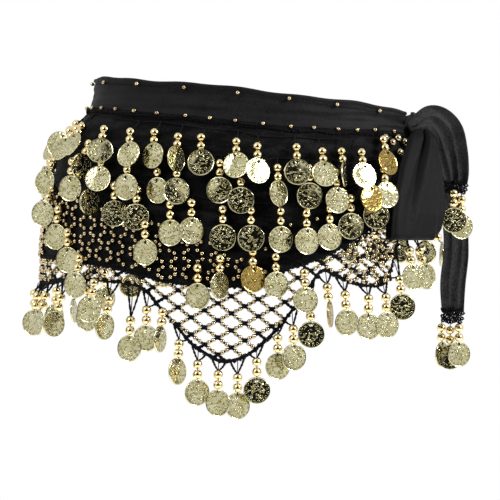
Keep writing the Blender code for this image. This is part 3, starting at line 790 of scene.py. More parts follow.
def stitch_line(below, out):
    """Running stitches along the band: a short thread every few millimetres, at one level."""
    angles, lengths = angle_columns(COLUMN)
    places = np.arange(3, lengths[-1] - 5, STITCH_PITCH)
    share = np.linspace(0, STITCH_SHARE, 4)
    along = places[:, None] + STITCH_PITCH * share
    angle = np.interp(along, lengths, angles)
    lift = out + 0.35 * np.sin(np.pi * share / STITCH_SHARE)
    return tube_block(on_figure(angle, below + 0.25 * np.sin(places)[:, None], lift), 0.3, 4)


make_piece("band_stitches", [stitch_line(5.6, 2.7)], thread_black)
make_piece("seam_crochet", trim_blocks(), thread_black)
seam_angles = np.concatenate([SEAM_BEADS, TRIM_BEHIND])
spot_beads("seam_beads", seam_angles, cut_line("seam", seam_angles) - 1.0, TRIM_STAND + 1.2, 2.1)
spot_beads("band_beads", np.concatenate([TOP_BEADS, TOP_BEHIND]), 4.5, 4.6, 2.0)


# Beaded net over the velvet: the crocheted net reaches up over the velvet at the front and the
# left hip, lying on the nap, so its beads stand out and its black threads hardly show.
OVER_TOP = {
    "angle": (-108, -85, -60, -45, -33, -23, -12, -3, 5, 14),
    "below": (112, 108, 112, 116, 124, 131, 141, 148, 160, 166),
}
OVER_STAND = 3.3
KNOT_BEADS = ((49.8, 28.5), (53.5, 32), (57.5, 27), (62.0, 29.5), (56.5, 40))
FEW_BEADS = (
    (20.8, 111), (13, 119), (24, 122), (44.2, 106), (46.8, 112), (10, 128), (30, 116), (17, 131), (6, 143),
)


def over_sides():
    """Sides of the net's diamonds that lie on the velvet, each wavy and shifted a little."""
    first, last = OVER_TOP["angle"][0], OVER_TOP["angle"][-1]
    low, high = arc_at((first, last))
    columns = np.arange(math.floor(low / (CELL_WIDTH / 2)), math.ceil(high / (CELL_WIDTH / 2)))
    sides = diamond_sides(columns, np.arange(-11, 2))
    along, below = sides[..., 0], sides[..., 1]
    shift = np.stack([2.2 * np.sin(below / 9 + along / 23), 2.4 * np.sin(along / 14 + below / 31)], -1)
    middle = sides.mean(axis=1)
    angle = angle_at(middle[:, 0])
    kept = middle[:, 1] > smooth(OVER_TOP["angle"], OVER_TOP["below"], angle)
    kept &= (middle[:, 1] < cut_line("hem", angle) - 3) & (angle > first) & (angle < last)
    return (sides + shift)[kept]


over = over_sides()
make_piece("net_over_velvet", [laid_thread(over, OVER_STAND - 0.8, 0.55)], thread_black)
make_piece("beads_over_velvet", [side_beads(over, OVER_STAND, 0.0, 1.0)], small_bead_gold)
spot_beads("velvet_beads", *zip(*FEW_BEADS), OVER_STAND, 2.1)
spot_beads("knot_beads", *zip(*KNOT_BEADS), 5.5, 3.9)


# Drops: each is a thread with two gold beads and a stamped coin, and the rows hang from cords
# sewn to the velvet and from the net's border. They lie on each other, so each one is moved
# out until it clears those beneath it.
COIN_RADIUS = 12
COIN_THICK = 1.0
BEAD_RADIUS = 4.4
BEAD_STEP = 9.0
MOST_UPRIGHT = 15
BEAD_HALF = 3.2
BEAD_PITCH = 8.2
BEAD_TO_COIN = 16.3
THREAD = 4.3
ROOT_TO_COIN = BEAD_TO_COIN + BEAD_PITCH + BEAD_HALF + THREAD
ROOT_HALF = 2
STRIP_HEIGHT = 1.4
STRIP_DEEP = 1.4
STRIP_STAND = 0.5
EDGE_INSET = 0.6
CLOTH = 2.0
BEAD_STAND = 6.8
COIN_STAND = 6.4
BEAD_LIFT_SHARE = 0.4
COIN_CLEAR, BEAD_CLEAR, BEADS_CLEAR, THREAD_CLEAR, LIFT = 2.0, 5.4, 9.4, 2.4, 0.8
HANG_SLOPE, HANG_START, WIDEST_SINE = 1.6, 0.3, 0.98
BACK_START, BACK_PITCH, EDGE_THREAD = -88, 31, 35
BACK_END = {"coins_net_edge": -266, "coins_row_1": -266, "coins_row_2": -235, "coins_row_3": -168}
BACK_LEVEL = {"coins_row_1": 70, "coins_row_2": 99, "coins_row_3": 131}
BACK_TURNS = (0, 20, -15, 35, 0, -30, 10)
ROWS = {
    # angle from the front, level of the coin's middle, turn on its thread in the CAD, way it faces
    "coins_net_edge": (
        (-77, 236, 20, -30), (-68, 234, 40, -62), (-58, 233, 45, 40), (-46, 224, 0, -28),
        (-38, 229, 40, 50), (-31, 246, 15, -26), (-26, 235, 0, -24), (-21.5, 234, 45, 66),
        (-17, 261, 35, 52), (-12, 278, 15, 27), (-6.5, 285, 0, -24), (-1.5, 286, 0, 26),
        (3.5, 270, 0, 4), (9, 247, 0, 26), (13, 237, 0, 24), (17.5, 215, 0, 3),
        (22.5, 195, 45, 76), (27.5, 201, 10, 28), (35, 203, 0, 24), (41, 200, 10, 29),
        (46, 182, 0, 8), (50.5, 154, 0, 30), (56, 152, 20, 42),
    ),
    "coins_diagonal": (
        (-71, 133, 30, -26), (-62.5, 153, 5, -30), (-55.5, 173, 0, -26), (-49, 195, 15, -30),
        (-42, 215, 0, -24),
    ),
    "coins_row_4": (
        (-27, 158, 0, -24), (-12, 192, 0, -25), (-6, 180, 45, 50), (2.5, 171, 40, 24),
        (8.5, 174, 20, 28), (16, 185, 0, 25),
    ),
    "coins_row_3": (
        (-46, 118, 40, 48), (-38, 126, 0, -6), (-30, 127, 0, -8), (-20, 138, 0, -25),
        (-14, 134, 15, 25), (-5.5, 137, 0, -4), (2, 135, 0, 2), (10, 133, 0, 25),
        (17, 132, 0, 26), (24, 126, 0, 24), (30.5, 114, 0, 15), (39, 102, 20, 6),
    ),
    "coins_row_2": (
        (-74, 103, 20, -38), (-59, 107, 0, -26), (-52, 86, 45, 48), (-44, 96, 30, -14),
        (-34, 101, 0, -26), (-25, 101, 0, -33), (-19, 100, 20, 14), (-7, 95, 20, -14), (-1, 102, 0, 2),
        (9, 92, 45, 47), (18, 91, 0, 14), (26, 92, 0, 25), (36, 87, 20, 33), (42, 82, 0, 27),
    ),
    "coins_row_1": (
        (-75, 66, 20, -34), (-60, 66, 30, -42), (-67, 71, 30, -45), (-46, 70, 0, -5), (-35, 71, 0, -28),
        (-27.5, 70, 20, -35), (-20, 71, 45, 50), (-13, 72, 0, -3), (-3, 71, 25, -14),
        (3, 74, 0, 26), (14, 71, 0, 4), (21.5, 70, 25, 15), (28, 68, 45, 75), (34, 67, 0, 25),
        (45, 52, 30, 40),
    ),
}


def hang_angle(angle, below, level):
    """Angle at a higher level, straight above the point in the front view, less so at the hips."""
    x = on_figure(angle, below)[0]
    half_width = smooth(FIGURE["below"], FIGURE["half_width"], level)
    sine = (x - smooth(FIGURE["below"], FIGURE["shift"], level)) / half_width
    straight = math.degrees(math.asin(np.clip(sine, -WIDEST_SINE, WIDEST_SINE)))
    facing = math.cos(math.radians(angle))
    if facing < 0:
        straight = -180 - straight
    share = min(1, max(0, HANG_SLOPE * abs(facing) - HANG_START))
    return angle + share * (straight - angle)


def drop_shape(middle, axis, face, turn):
    """Coin's middle, the thread's direction, the coin's own axes and the beads' middles."""
    across = unit(np.cross(axis, face))
    face = np.cross(across, axis)
    swing = math.radians(turn)
    return {
        "middle": middle,
        "axis": axis,
        "across": across,
        "face": face,
        "coin_across": math.cos(swing) * across + math.sin(swing) * face,
        "coin_face": math.cos(swing) * face - math.sin(swing) * across,
        "beads": np.array([middle - (BEAD_TO_COIN + i * BEAD_PITCH) * axis for i in (1, 0)]),
    }


def drop_on_figure(angle, below, turn, lift):
    """A drop that hangs down the figure, moved out from it where it lies on other drops."""
    bead_below = below - BEAD_TO_COIN - BEAD_PITCH
    root_angle = hang_angle(angle, below, bead_below)
    out = COIN_STAND + COIN_RADIUS * abs(math.sin(math.radians(turn))) + lift
    middle = on_figure(angle, below, out)
    upper = on_figure(root_angle, bead_below, BEAD_STAND + BEAD_LIFT_SHARE * lift)
    outward = on_figure(angle, below, 1.0) - on_figure(angle, below)
    drop = drop_shape(middle, unit(middle - upper), unit(outward * (1, 1, 0)), turn)
    drop["root_angle"] = root_angle
    drop["root_below"] = below - ROOT_TO_COIN
    return drop


def coin_points(drop):
    """Points on a coin's rim, half-way in and at its middle."""
    turns = np.linspace(0, 2 * math.pi, 16, endpoint=False)
    circle = np.outer(np.cos(turns), drop["coin_across"]) + np.outer(np.sin(turns), drop["axis"])
    rim = drop["middle"] + COIN_RADIUS * circle
    return np.concatenate([rim, drop["middle"] + COIN_RADIUS / 2 * circle, [drop["middle"]]])


def distance_to_coin(points, drop):
    """Distance of points from a coin's flat disc."""
    offset = points - drop["middle"]
    height = offset @ drop["coin_face"]
    flat = np.linalg.norm(offset - np.outer(height, drop["coin_face"]), axis=1)
    return np.hypot(height, np.maximum(flat - COIN_RADIUS, 0))


def clears(drop, other):
    """Whether two drops lie clear of each other."""
    if np.linalg.norm(drop["middle"] - other["middle"]) > 4 * COIN_RADIUS:
        return True
    for one, two in ((drop, other), (other, drop)):
        if distance_to_coin(coin_points(one), two).min() < COIN_CLEAR:
            return False
        if distance_to_coin(one["beads"], two).min() < BEAD_CLEAR:
            return False
        if distance_to_coin(one["thread"], two).min() < THREAD_CLEAR:
            return False
    apart = np.linalg.norm(drop["beads"][:, None] - other["beads"][None], axis=2)
    return apart.min() > BEADS_CLEAR


def drop_root(drop, hung_on_net):
    """Middle of the strip that the thread is sewn to: the mean of its triangle's three corners."""
    angle = drop["root_angle"]
    below = drop["root_below"]
    one_degree = np.linalg.norm(on_figure(angle + 0.5, below) - on_figure(angle - 0.5, below))
    reach = ROOT_HALF / one_degree
    corners = []
    for side in (angle - reach, angle + reach):
        base = cut_line("edge", side) - EDGE_INSET if hung_on_net else below
        stand = CLOTH + STRIP_STAND
        corners += [on_figure(side, base, stand), on_figure(side, base, stand + STRIP_DEEP)]
        corners += [on_figure(side, base - STRIP_HEIGHT, stand + STRIP_DEEP / 2)]
    return np.mean(corners, axis=0)


def row_table(name):
    """A row's drops, those seen at the front and then those behind at an even pitch."""
    rows = list(ROWS[name])
    if name not in BACK_LEVEL and name != "coins_net_edge":
        return rows
    number = list(ROWS).index(name)
    start = arc_at(BACK_START) - (number % 2) * BACK_PITCH / 2
    for i, along in enumerate(np.arange(start, arc_at(BACK_END[name]), -BACK_PITCH)):
        angle = float(angle_at(along))
        turn = BACK_TURNS[(i + 2 * number) % len(BACK_TURNS)]
        edge_level = float(cut_line("edge", angle)) + EDGE_THREAD
        rows.append((angle, BACK_LEVEL.get(name, edge_level), turn, None))
    return rows


def face_way(drop, facing):
    """Turn a coin about its thread until it faces a way, in degrees from the viewer, + to the right."""
    way = np.array([math.sin(math.radians(facing)), -math.cos(math.radians(facing)), 0])
    across = unit(np.cross(drop["axis"], way))
    drop["coin_across"] = across
    drop["coin_face"] = np.cross(across, drop["axis"])


def place_row(name, placed):
    """Place a row's drops one by one, each moved out until it clears those placed before it."""
    hung_on_net = name == "coins_net_edge"
    row = []
    for angle, below, turn, facing in row_table(name):
        lift = 0
        while True:
            drop = drop_on_figure(angle, below, turn, lift)
            drop["root"] = drop_root(drop, hung_on_net)
            top = drop["beads"][0] - BEAD_HALF * drop["axis"]
            drop["thread"] = np.linspace(drop["root"], top, 4)
            if all(clears(drop, other) for other in placed):
                break
            lift += LIFT
        drop["facing"] = facing
        row.append(drop)
        placed.append(drop)
    return sorted(row, key=lambda drop: drop["root_angle"])


COIN_HOLE = 0.74
HOLE_RADIUS = 0.075
COIN_COLUMNS = 64
COIN_DOTS = 16
COIN_DOME = 0.7
FIELD_RINGS = (0.0, 0.10, 0.24, 0.40, 0.60, 0.80, 1.0)
RIM_RINGS = (
    # radius and height
    (0.82, 0.0), (0.86, 0.0), (0.90, 0.0), (0.94, 0.0), (0.96, 0.28), (0.985, 0.28), (1.0, 0.0),
)
COIN_COLOUR = ((0.54, 0.50, 0.27), (0.72, 0.68, 0.44))
BROWN_COLOUR = (0.42, 0.30, 0.09)
# Colour multiplier over the relief's height: white on the flat field, darkest on the slopes, a little dark on
# the tops.
RELIEF_DARKENING_STOPS = [(0.0, (1.0, 1.0, 1.0)), (0.45, (0.30, 0.28, 0.20)), (1.0, (0.75, 0.74, 0.66))]
BROWN_COINS = (("coins_row_4", 3), ("coins_row_2", 2), ("coins_row_1", 1), ("coins_net_edge", 7))


def coin_relief(x, y, seed):
    """Height of a coin's face: a ring of round dots, and a shallow wavy field inside it."""
    radius = np.hypot(x, y)
    turn = np.arctan2(y, x)
    dot_turn = (turn * COIN_DOTS / (2 * np.pi)) % 1 - 0.5
    along = dot_turn * 2 * np.pi / COIN_DOTS * radius
    dots = np.clip(1 - np.hypot(along, radius - 0.87) / 0.07, 0, 1)
    field = np.sin(4 * x + 1.6 * np.sin(3 * y + seed) + seed) + np.sin(5 * y + 1.7 * np.sin(4 * x - 2 * seed))
    inside = np.clip((0.72 - radius) / 0.12, 0, 1)
    return 0.4 * dots + 0.05 * field * inside


def stamped_dots(calc, x, y, radius):
    """Round dots side by side in a ring near the rim: how far each place is from a dot's middle."""
    turn = calc("MULTIPLY", calc("ARCTAN2", y, x), COIN_DOTS / (2 * math.pi))
    across = calc("MULTIPLY", calc("SUBTRACT", calc("FRACT", calc("ADD", turn, 20.0)), 0.5), 2.8)
    outward = calc("MULTIPLY", calc("SUBTRACT", radius, 0.83), 7.5)
    return calc("ADD", calc("MULTIPLY", across, across), calc("MULTIPLY", outward, outward))


def stamped_strokes(tree, calc, x, y, number):
    """Raised strokes where one noise is near its middle, broken where another is low."""
    spot = add_node(tree, "CombineXYZ", [
        (0, x), (1, calc("MULTIPLY", y, 1.35)), (2, calc("MULTIPLY", number, 3.7)),
    ]).outputs[0]
    field = add_node(tree, "TexNoise", [
        ("Vector", spot), ("Scale", 2.3), ("Detail", 1.0), ("Distortion", 0.5),
    ])
    edge = calc("ABSOLUTE", calc("SUBTRACT", field.outputs["Fac"], 0.5))
    breaks = add_node(tree, "TexNoise", [("Vector", spot), ("Scale", 3.4), ("Detail", 0.0)])
    kept = ramp_node(tree, breaks.outputs["Fac"], [(0.42, 0.0), (0.48, 1.0)])
    return calc("MULTIPLY", ramp_node(tree, edge, [(0.025, 1.0), (0.085, 0.0)]), kept)


def stamped_relief(tree, calc, u, v):
    """The dots and, inside them, the strokes, from the coin's own flat coordinates."""
    x = calc("MULTIPLY_ADD", calc("FRACT", u), 2.4, -1.2)
    y = calc("MULTIPLY_ADD", calc("FRACT", v), 2.4, -1.2)
    radius = calc("SQRT", calc("ADD", calc("MULTIPLY", x, x), calc("MULTIPLY", y, y)))
    dots = ramp_node(tree, stamped_dots(calc, x, y, radius), [(0.25, 1.0), (0.6, 0.0)])
    strokes = stamped_strokes(tree, calc, x, y, calc("FLOOR", u))
    inside = ramp_node(tree, radius, [(0.62, 1.0), (0.70, 0.0)])
    return calc("ADD", calc("MULTIPLY", strokes, inside), dots)


def coin_look():
    """Stamped pale gold: dots and wavy strokes raised on it, darker where the relief begins.

    The whole part of U is the coin's number, which shifts its strokes, and V is above 1 on a
    coin that has gone brown.
    """
    look, tree, shader = new_look("coin_gold")
    calc = partial(math_node, tree)
    coordinates = add_node(tree, "TexCoord")
    split = add_node(tree, "SeparateXYZ", [("Vector", coordinates.outputs["UV"])])
    relief = stamped_relief(tree, calc, split.outputs[0], split.outputs[1])
    brown = calc("FLOOR", split.outputs[1])
    dents = noise(tree, coordinates.outputs["Object"], 420, 2)
    patches = noise(tree, coordinates.outputs["Object"], 110, 4)
    pale = ramp_node(tree, patches, [(0.35, COIN_COLOUR[0]), (0.65, COIN_COLOUR[1])])
    aged = add_node(tree, "Mix", [(0, brown), (6, pale), (7, (*BROWN_COLOUR, 1))], data_type="RGBA")
    # The relief darkens the colour, most on its slopes and a little on its tops.
    worn = ramp_node(tree, relief, RELIEF_DARKENING_STOPS)
    parts = [(0, 1.0), (6, aged.outputs[2]), (7, worn)]
    colour = add_node(tree, "Mix", parts, data_type="RGBA", blend_type="MULTIPLY")
    tree.links.new(colour.outputs[2], shader.inputs["Base Color"])
    shader.inputs["Metallic"].default_value = 1.0
    rough = ramp_node(tree, patches, [(0.3, 0.07), (0.7, 0.13)])
    tree.links.new(rough, shader.inputs["Roughness"])
    first = bump(tree, shader, relief, 0.55, 1.0)
    bump(tree, shader, dents, 0.05, 0.3, first)
    return look


def coin_block(coin, seeds, brown):
    """Stamped coins: circles that grow from the small hole at the top out to the rim.

    Between the hole and the field's edge the circles' middles slide from the hole's to the
    coin's. Both faces are slightly domed, and the front has its relief on top.
    """
    turns = np.linspace(0, 2 * np.pi, COIN_COLUMNS, endpoint=False)
    share = np.array(FIELD_RINGS)[:, None]
    radius = HOLE_RADIUS + share * (0.79 - HOLE_RADIUS)
    rise = COIN_HOLE * (1 - share)
    outer = np.array([r for r, _ in RIM_RINGS])[:, None]
    x = np.concatenate([radius * np.cos(turns), outer * np.cos(turns)])
    y = np.concatenate([rise + radius * np.sin(turns), outer * np.sin(turns)])
    rim = np.concatenate([np.zeros(len(FIELD_RINGS)), [h for _, h in RIM_RINGS]])[:, None]
    dome = COIN_DOME * (1 - x**2 - y**2)
    seeds = seeds[:, None, None]
    middles, acrosses, downs, faces = (
        coin[key][:, None, None] for key in ("middle", "coin_across", "coin_down", "coin_face")
    )
    front = dome + COIN_THICK / 2 + rim + coin_relief(x[None], y[None], seeds)
    kept = np.array([0, 4, len(FIELD_RINGS), len(x) - 1])[::-1]
    back = np.broadcast_to(dome - COIN_THICK / 2, front.shape)[:, kept]
    local_x = np.concatenate([x, x[kept], x[:1]])
    local_y = np.concatenate([y, y[kept], y[:1]])
    local_z = np.concatenate([front, back, front[:, :1]], axis=1)
    points = (
        middles
        + COIN_RADIUS * local_x[None, ..., None] * -acrosses
        - COIN_RADIUS * local_y[None, ..., None] * downs
        + local_z[..., None] * faces
    )
    count, rows = points.shape[:2]
    _, grid = grid_block(points[0], (turns[[0] * (COIN_COLUMNS + 1)], np.zeros(rows)), closed=True)
    quads = grid[0][0][:, ::-1]
    flat = np.stack([local_x, local_y], -1).reshape(-1, 2)[quads] / 2.4 + 0.5
    flat = flat[None] + np.stack([np.arange(count), brown], -1)[:, None, None]
    starts = np.arange(count)[:, None, None] * (rows - 1) * COIN_COLUMNS
    quads = quads % ((rows - 1) * COIN_COLUMNS) + starts
    return points[:, :-1].reshape(-1, 3), [(quads.reshape(-1, 4), flat.reshape(-1, 4, 2))]


BEAD_PROFILE = (
    (0.3, -0.92), (0.66, -0.74), (0.91, -0.41), (1.0, 0.0), (0.91, 0.41), (0.66, 0.74), (0.3, 0.92),
)
BEAD_SIDES = 10
STRING = 0.45


def hang_coin(drop, nod):
    """Turn a coin about its own level axis so that it hangs more upright than its thread, and nods."""
    lean = math.degrees(math.asin(np.clip(drop["coin_face"][2], -1, 1)))
    swing = math.radians(nod + math.copysign(min(abs(lean), MOST_UPRIGHT), lean))
    down, face = drop["axis"], drop["coin_face"]
    drop["coin_down"] = math.cos(swing) * down - math.sin(swing) * face
    drop["coin_face"] = math.cos(swing) * face + math.sin(swing) * down


def coin_threads(stack):
    """Points of each thread: the root, the two beads, then through the coin's hole from the front."""
    down, face = stack["coin_down"], stack["coin_face"]
    hole = stack["middle"] - COIN_HOLE * COIN_RADIUS * down
    upper, lower = stack["beads"][:, 0], stack["beads"][:, 1]
    lower_end = lower + BEAD_HALF * stack["axis"]
    in_front = hole + 1.2 * face - 1.0 * down
    through = [hole + 0.9 * face, hole - 0.8 * face]
    return np.stack([stack["root"], upper, lower, lower_end, in_front, *through], 1)


def fringe_pieces(name, row):
    """A row's coins and its beads as two gold meshes, and its threads as tubes."""
    for number, drop in enumerate(row):
        if drop.get("facing") is not None:
            face_way(drop, drop["facing"])
        hang_coin(drop, 3 * math.sin(2.4 * number + len(name)))
        drop["beads"] = np.array([drop["beads"][1] - BEAD_STEP * drop["axis"], drop["beads"][1]])
    stack = {key: np.array([drop[key] for drop in row]) for key in row[0] if key != "facing"}
    seeds = 0.7 + 1.9 * np.arange(len(row))
    brown = np.array([float((name, number) in BROWN_COINS) for number in range(len(row), 0, -1)])
    make_piece(name + "_stamped", [coin_block(stack, seeds, brown)], coin_gold, name)
    beads = [
        bead_block(stack["beads"][:, i], stack["axis"], BEAD_RADIUS, BEAD_PROFILE, BEAD_SIDES) for i in (0, 1)
    ]
    make_piece(name + "_beads", beads, bead_gold)
    return tube_block(coin_threads(stack), STRING, 5)


BEAD_COLOUR = ((0.78, 0.62, 0.30), (0.90, 0.76, 0.42))
PICOT_HALF = 6.5
PICOT_PLY = 0.9


def picot_blocks(row):
    """Two chains at each edge drop, from the border at either side down to its upper bead."""
    share = np.linspace(0, 1, 12)
    blocks = []
    for side in (-1, 1):
        angle = angle_at(arc_at([drop["root_angle"] for drop in row]) + side * PICOT_HALF)
        start = on_figure(angle, cut_line("edge", angle) - 0.5, NET_STAND)
        end = np.array([drop["beads"][0] - BEAD_RADIUS * 0.8 * drop["axis"] for drop in row])
        line = start[:, None] + share[:, None] * (end - start)[:, None]
        line[..., 2] -= 1.2 * np.sin(np.pi * share)
        for strand in (0, 1):
            turn = 2 * np.pi * (2.2 * share + strand / 2)
            wound = line + 0.45 * np.stack([np.cos(turn), np.sin(turn), 0 * turn], -1)
            blocks.append(tube_block(wound, PICOT_PLY * (1 - 0.35 * share), 5))
    return blocks


coin_gold = coin_look()
bead_gold = gold_look("bead_gold", BEAD_COLOUR, (0.03, 0.07))
placed = []
rows = {name: place_row(name, placed) for name in ROWS}
for name, row in rows.items():
    cords = [fringe_pieces(name, row)]
    if name == "coins_net_edge":
        cords += picot_blocks(row)
    else:
        angles = [drop["root_angle"] for drop in row]
        levels = [drop["root_below"] for drop in row]
        fine = np.arange(angles[0] - 2, angles[-1] + 2, 0.5)
        cords.append(tube_block(on_figure(fine, np.interp(fine, angles, levels), 2.0)[None], 0.6, 5))
    make_piece(name + "_threads", cords, thread_black)


# Tie: the waistband's two ends, knotted at the viewer's right hip. One end comes back through
# the knot as a hanging loop, and both are single crepe that falls in long soft pleats.
KNOT_BELOW = 17
KNOT_STAND = 7
KNOT_RADII = (10.5, 8.5, 13)
TIE_CLOTH = 1.2
LOOP = {
    "height": (-17, -26, -52, -75, -98, -117),
    "left_x": (149, 144, 135, 130, 127, 126),
    "left_y": (-50, -61, -84, -101, -111, -115),
    "right_x": (161, 169, 176, 178.5, 178.5, 175),
    "right_y": (-46.5, -50, -54, -59, -65, -69),
}
LOOP_FOLD = 3.5
LOOP_COLUMNS = 56
LOOP_ROWS = 46
LOOP_BACK = 0.62
SHORT_END = {
    "x": (143, 163, 177, 183.5, 187.5, 188.5),
    "y": (-50, -45, -38, -32, -29, -28.5),
    "z": (-17, -7.5, -17.5, -37, -56, -69),
    "width": (9, 24, 31, 30, 25, 20),
}
LONG_END = {
    "x": (158, 170, 181, 189, 190.5, 187.5, 187.5),
    "y": (-24, -12, -5, -2, -2, -2, -2),
    "z": (-31, -55, -80, -105, -132, -162, -189),
    "width": (6, 12, 18, 22, 23, 23, 20),
}
SHORT_PLEATS = ((0.14, 0.15, 2.4), (0.44, 0.17, 4.4), (0.78, 0.20, 3.4))
LONG_PLEATS = ((0.16, 0.16, 1.8), (0.52, 0.24, 1.6), (0.88, 0.13, 1.6))


def cloth_block(middle, thickness):
    """Closed wall of cloth about a grid of points, its two long edges rounded over.

    Each side is the middle surface moved half the thickness along its normal, which is the way
    along the columns crossed with the way along the rows.
    """
    across = np.gradient(middle, axis=1)
    along = np.gradient(middle, axis=0)
    normal = unit(np.cross(across, along)) * thickness / 2
    across = unit(across) * thickness / 2
    first, last = middle[:, :1] - across[:, :1], middle[:, -1:] + across[:, -1:]
    ring = np.concatenate([middle + normal, last, (middle - normal)[:, ::-1], first], axis=1)
    rows, columns = middle.shape[:2]
    count = ring.shape[1]
    steps = np.linalg.norm(np.diff(ring, axis=1, append=ring[:, :1]), axis=-1).mean(axis=0)
    heights = running_length(middle[:, columns // 2])
    lengths = (np.concatenate([[0], np.cumsum(steps)]) * MM, heights * MM)
    _, faces = grid_block(ring, lengths, closed=True)
    c = np.arange(columns - 1)
    strip = np.stack([c, 2 * columns - c, 2 * columns - c - 1, c + 1], -1)
    corner = np.array([[columns - 1, columns + 1, columns], [0, 2 * columns + 1, 2 * columns]])
    base = (rows - 1) * count
    ends = np.concatenate([strip, strip[:, ::-1] + base])
    corners = np.concatenate([corner, corner[:, ::-1] + base])
    faces.append((ends, np.zeros((len(ends), 4, 2))))
    faces.append((corners, np.zeros((len(corners), 3, 2))))
    return ring.reshape(-1, 3), faces


def pleats(table, share, depth):
    """Rounded lobes side by side: each (middle, half width, height) is a half ellipse over the base."""
    height = np.zeros(np.broadcast(share, depth).shape)
    for middle, half, lift in table:
        inside = np.clip(1 - ((share - middle) / half) ** 2, 0, 1)
        height = np.maximum(height, lift * np.sqrt(inside) * depth)
    return height


def loop_fold(u, v):
    """How far the loop's front stands out: a rolled edge, a slanting crease and a layer behind."""
    crease = np.interp(v, (0.0, 0.35, 0.7, 1.0), (0.62, 0.40, 0.28, 0.22))
    step = np.interp(v, (0.0, 0.2, 0.45, 1.0), (1.15, 0.93, 0.84, 0.82))
    fade = np.clip(1.15 - v, 0, 1)
    lift = -3.0 * np.exp(-((u / 0.05) ** 2))
    lift = lift - 5.0 * fade * np.exp(-(((u - crease) / (0.045 + 0.06 * v)) ** 2))
    lift = lift + 2.2 * fade * np.exp(-(((u - crease - 0.16) / 0.10) ** 2))
    lift = lift - 4.2 / (1 + np.exp(-(u - step) / 0.012))
    lift = lift + 0.9 * np.exp(-(((u - step + 0.03) / 0.03) ** 2))
    return lift + 0.5 * np.sin(2 * np.pi * (1.4 * u + 0.9 * v)) * v


def make_loop():
    """Front layer down to the fold, a half turn under it and the back layer up again."""
    down = np.linspace(0, 1, LOOP_ROWS)
    heights = LOOP["height"][0] + down * (LOOP["height"][-1] - LOOP["height"][0])
    drops = [-height for height in LOOP["height"]]
    left, right = (
        np.stack([np.interp(-heights, drops, LOOP[side + "_" + axis]) for axis in "xy"] + [heights], -1)
        for side in ("left", "right")
    )
    across = right - left
    out = unit(np.stack([across[:, 1], -across[:, 0], np.zeros(LOOP_ROWS)], -1))
    u = np.linspace(0, 1, LOOP_COLUMNS)
    front = left[:, None] + across[:, None] * u[:, None] - out[:, None] * TIE_CLOTH / 2
    lift = loop_fold(u[None], down[:, None])
    corner = 9.0 * np.clip((u - 0.8) / 0.2, 0, 1) ** 2 * down[:, None] ** 6
    front = front + out[:, None] * lift[..., None]
    front[..., 2] += corner
    bottom, bottom_out = front[-1], out[-1]
    turns = np.radians((30, 60, 90, 120, 150))
    centre = bottom - LOOP_FOLD * bottom_out
    fold = centre + LOOP_FOLD * (np.cos(turns)[:, None, None] * bottom_out
                                 - np.sin(turns)[:, None, None] * np.array((0, 0, 1.0)))
    back = (front - 2 * LOOP_FOLD * out[:, None])[::-1][: int(LOOP_BACK * LOOP_ROWS)]
    block = cloth_block(np.concatenate([front, fold, back])[:, ::-1], TIE_CLOTH)
    return make_piece("tie_loop_crepe", [block], tie_crepe_with_painted_light, "tie_loop")


def make_end(name, table, pleat_table, node, rows, columns):
    """Strip of crepe down its own middle line, pleated along its length, deepest in the middle."""
    share = np.linspace(0, len(table["x"]) - 1, rows)
    number = np.arange(len(table["x"]))
    path = np.stack([smooth(number, table[key], share) for key in ("x", "y", "z")], -1)
    width = smooth(number, table["width"], share)
    along = np.gradient(path, axis=0)
    across = unit(np.cross(along, (0, 1, 0)))
    normal = unit(np.cross(across, along))
    u = np.linspace(0, 1, columns)
    v = np.linspace(0, 1, rows)[:, None]
    sway = u[None] + 0.03 * np.sin(5 * v + 4 * u[None])
    fold = pleats(pleat_table, sway, 0.65 + 0.35 * np.sin(np.pi * v) + 0 * sway)
    fold = fold + 0.3 * np.sin(9 * v + 14 * u)
    middle = path[:, None] + across[:, None] * (width[:, None] * (u - 0.5))[..., None]
    middle = middle + normal[:, None] * (fold - 1.2)[..., None]
    return make_piece(name, [cloth_block(middle, TIE_CLOTH)], tie_crepe_with_painted_light, node)


def make_knot():
    """Rounded knot with wraps of cloth running round it."""
    middle = on_figure(KNOT_ANGLE, KNOT_BELOW, KNOT_STAND)
    out = on_figure(KNOT_ANGLE, KNOT_BELOW, 1.0) - on_figure(KNOT_ANGLE, KNOT_BELOW)
    along = np.array([out[1], -out[0], 0])
    tilts = np.radians(np.linspace(-86, 86, 34))[:, None]
    turns = np.linspace(0, 2 * np.pi, 64, endpoint=False)[None]
    wraps = 1 + 0.10 * np.abs(np.sin(2.6 * tilts + 0.8 * np.sin(turns)))
    wraps = wraps + 0.03 * np.sin(7 * turns + 4 * tilts)
    flat = np.cos(tilts) * wraps
    ring = (flat * np.cos(turns))[..., None] * along * KNOT_RADII[0]
    ring = ring + (flat * np.sin(turns))[..., None] * out * KNOT_RADII[1]
    ring[..., 2] += np.sin(tilts) * wraps * KNOT_RADII[2]
    points = middle + ring
    lengths = (np.linspace(0, 0.06, 65), np.linspace(0, 0.03, 34))
    block = grid_block(points, lengths, closed=True)
    caps = np.stack([np.arange(64)[::-1], np.arange(64) + 33 * 64])
    block[1].append((caps, np.zeros((2, 64, 2))))
    return make_piece("knot_crepe", [block], tie_crepe_with_painted_light, "knot")


# The knot and the loop: crepe at a fifth of its black, painted shade.
tie_crepe_with_painted_light = crepe_look("tie_crepe_with_painted_light", 0.2)
make_knot()
loop = make_loop()
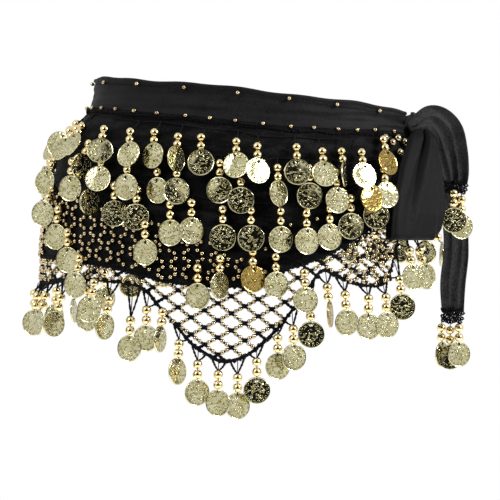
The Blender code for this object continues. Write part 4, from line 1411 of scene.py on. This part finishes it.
# The tie's ends: crepe at 3.4 times its black, painted light.
tie_crepe_with_painted_light = crepe_look("tie_end_crepe_painted_light", 3.4)
short_end = make_end("tie_short_crepe", SHORT_END, SHORT_PLEATS, "tie_short_end", 60, 64)
long_end = make_end("tie_long_crepe", LONG_END, LONG_PLEATS, "tie_long_end", 80, 56)
SHORT_DROPS = ((186, -31, -102, 15, 8), (193.5, -26, -108, -20, 24))
LONG_DROPS = ((177, 1.5, -229, 9, 58), (185, -2, -231.5, 0, -14), (193, -5.5, -229, -10, 25))


def end_row(table, drops):
    """Drops that hang straight down from the end of a tie."""
    row = []
    for x, y, z, turn, facing in drops:
        drop = drop_shape(np.array([x, y, z], float), np.array([0, 0, -1.0]), np.array([0, -1.0, 0]), turn)
        drop["root"] = np.array([x, table["y"][-1], table["z"][-1] - 1.5])
        drop["facing"] = facing
        row.append(drop)
    return row


def end_trim(name, table, shape):
    """Crochet worked onto a tie's end: rows of stitches, each moved a little off its place."""
    across, rows, depth = shape
    i, j = (grid.ravel().astype(float) for grid in np.meshgrid(np.arange(across), np.arange(rows)))
    share = (i + 0.5 * (j % 2)) / across - 0.5 + 0.03 * np.sin(7 * i + 3 * j)
    x = table["x"][-1] + share * table["width"][-1] * (1 - 0.1 * j / rows)
    y = table["y"][-1] - 1.2 + 1.6 * np.sin(4 * i + 5 * j)
    z = table["z"][-1] + 2.5 - depth * j / (rows - 1) + 0.8 * np.sin(5 * i + 2 * j)
    middles = np.stack([x, y, z], -1)
    outward = np.broadcast_to(np.array([0, -1.0, 0]), middles.shape)
    make_piece(name, stitch_block(middles, outward, 1.3 * i + 2.1 * j), thread_black)


end_trim("short_end_crochet", SHORT_END, (8, 5, 9.0))
end_trim("long_end_crochet", LONG_END, (8, 5, 11.0))
for name, table, drops in (
    ("coins_short_end", SHORT_END, SHORT_DROPS),
    ("coins_long_end", LONG_END, LONG_DROPS),
):
    threads = fringe_pieces(name, end_row(table, drops))
    make_piece(name + "_threads", [threads], thread_black)
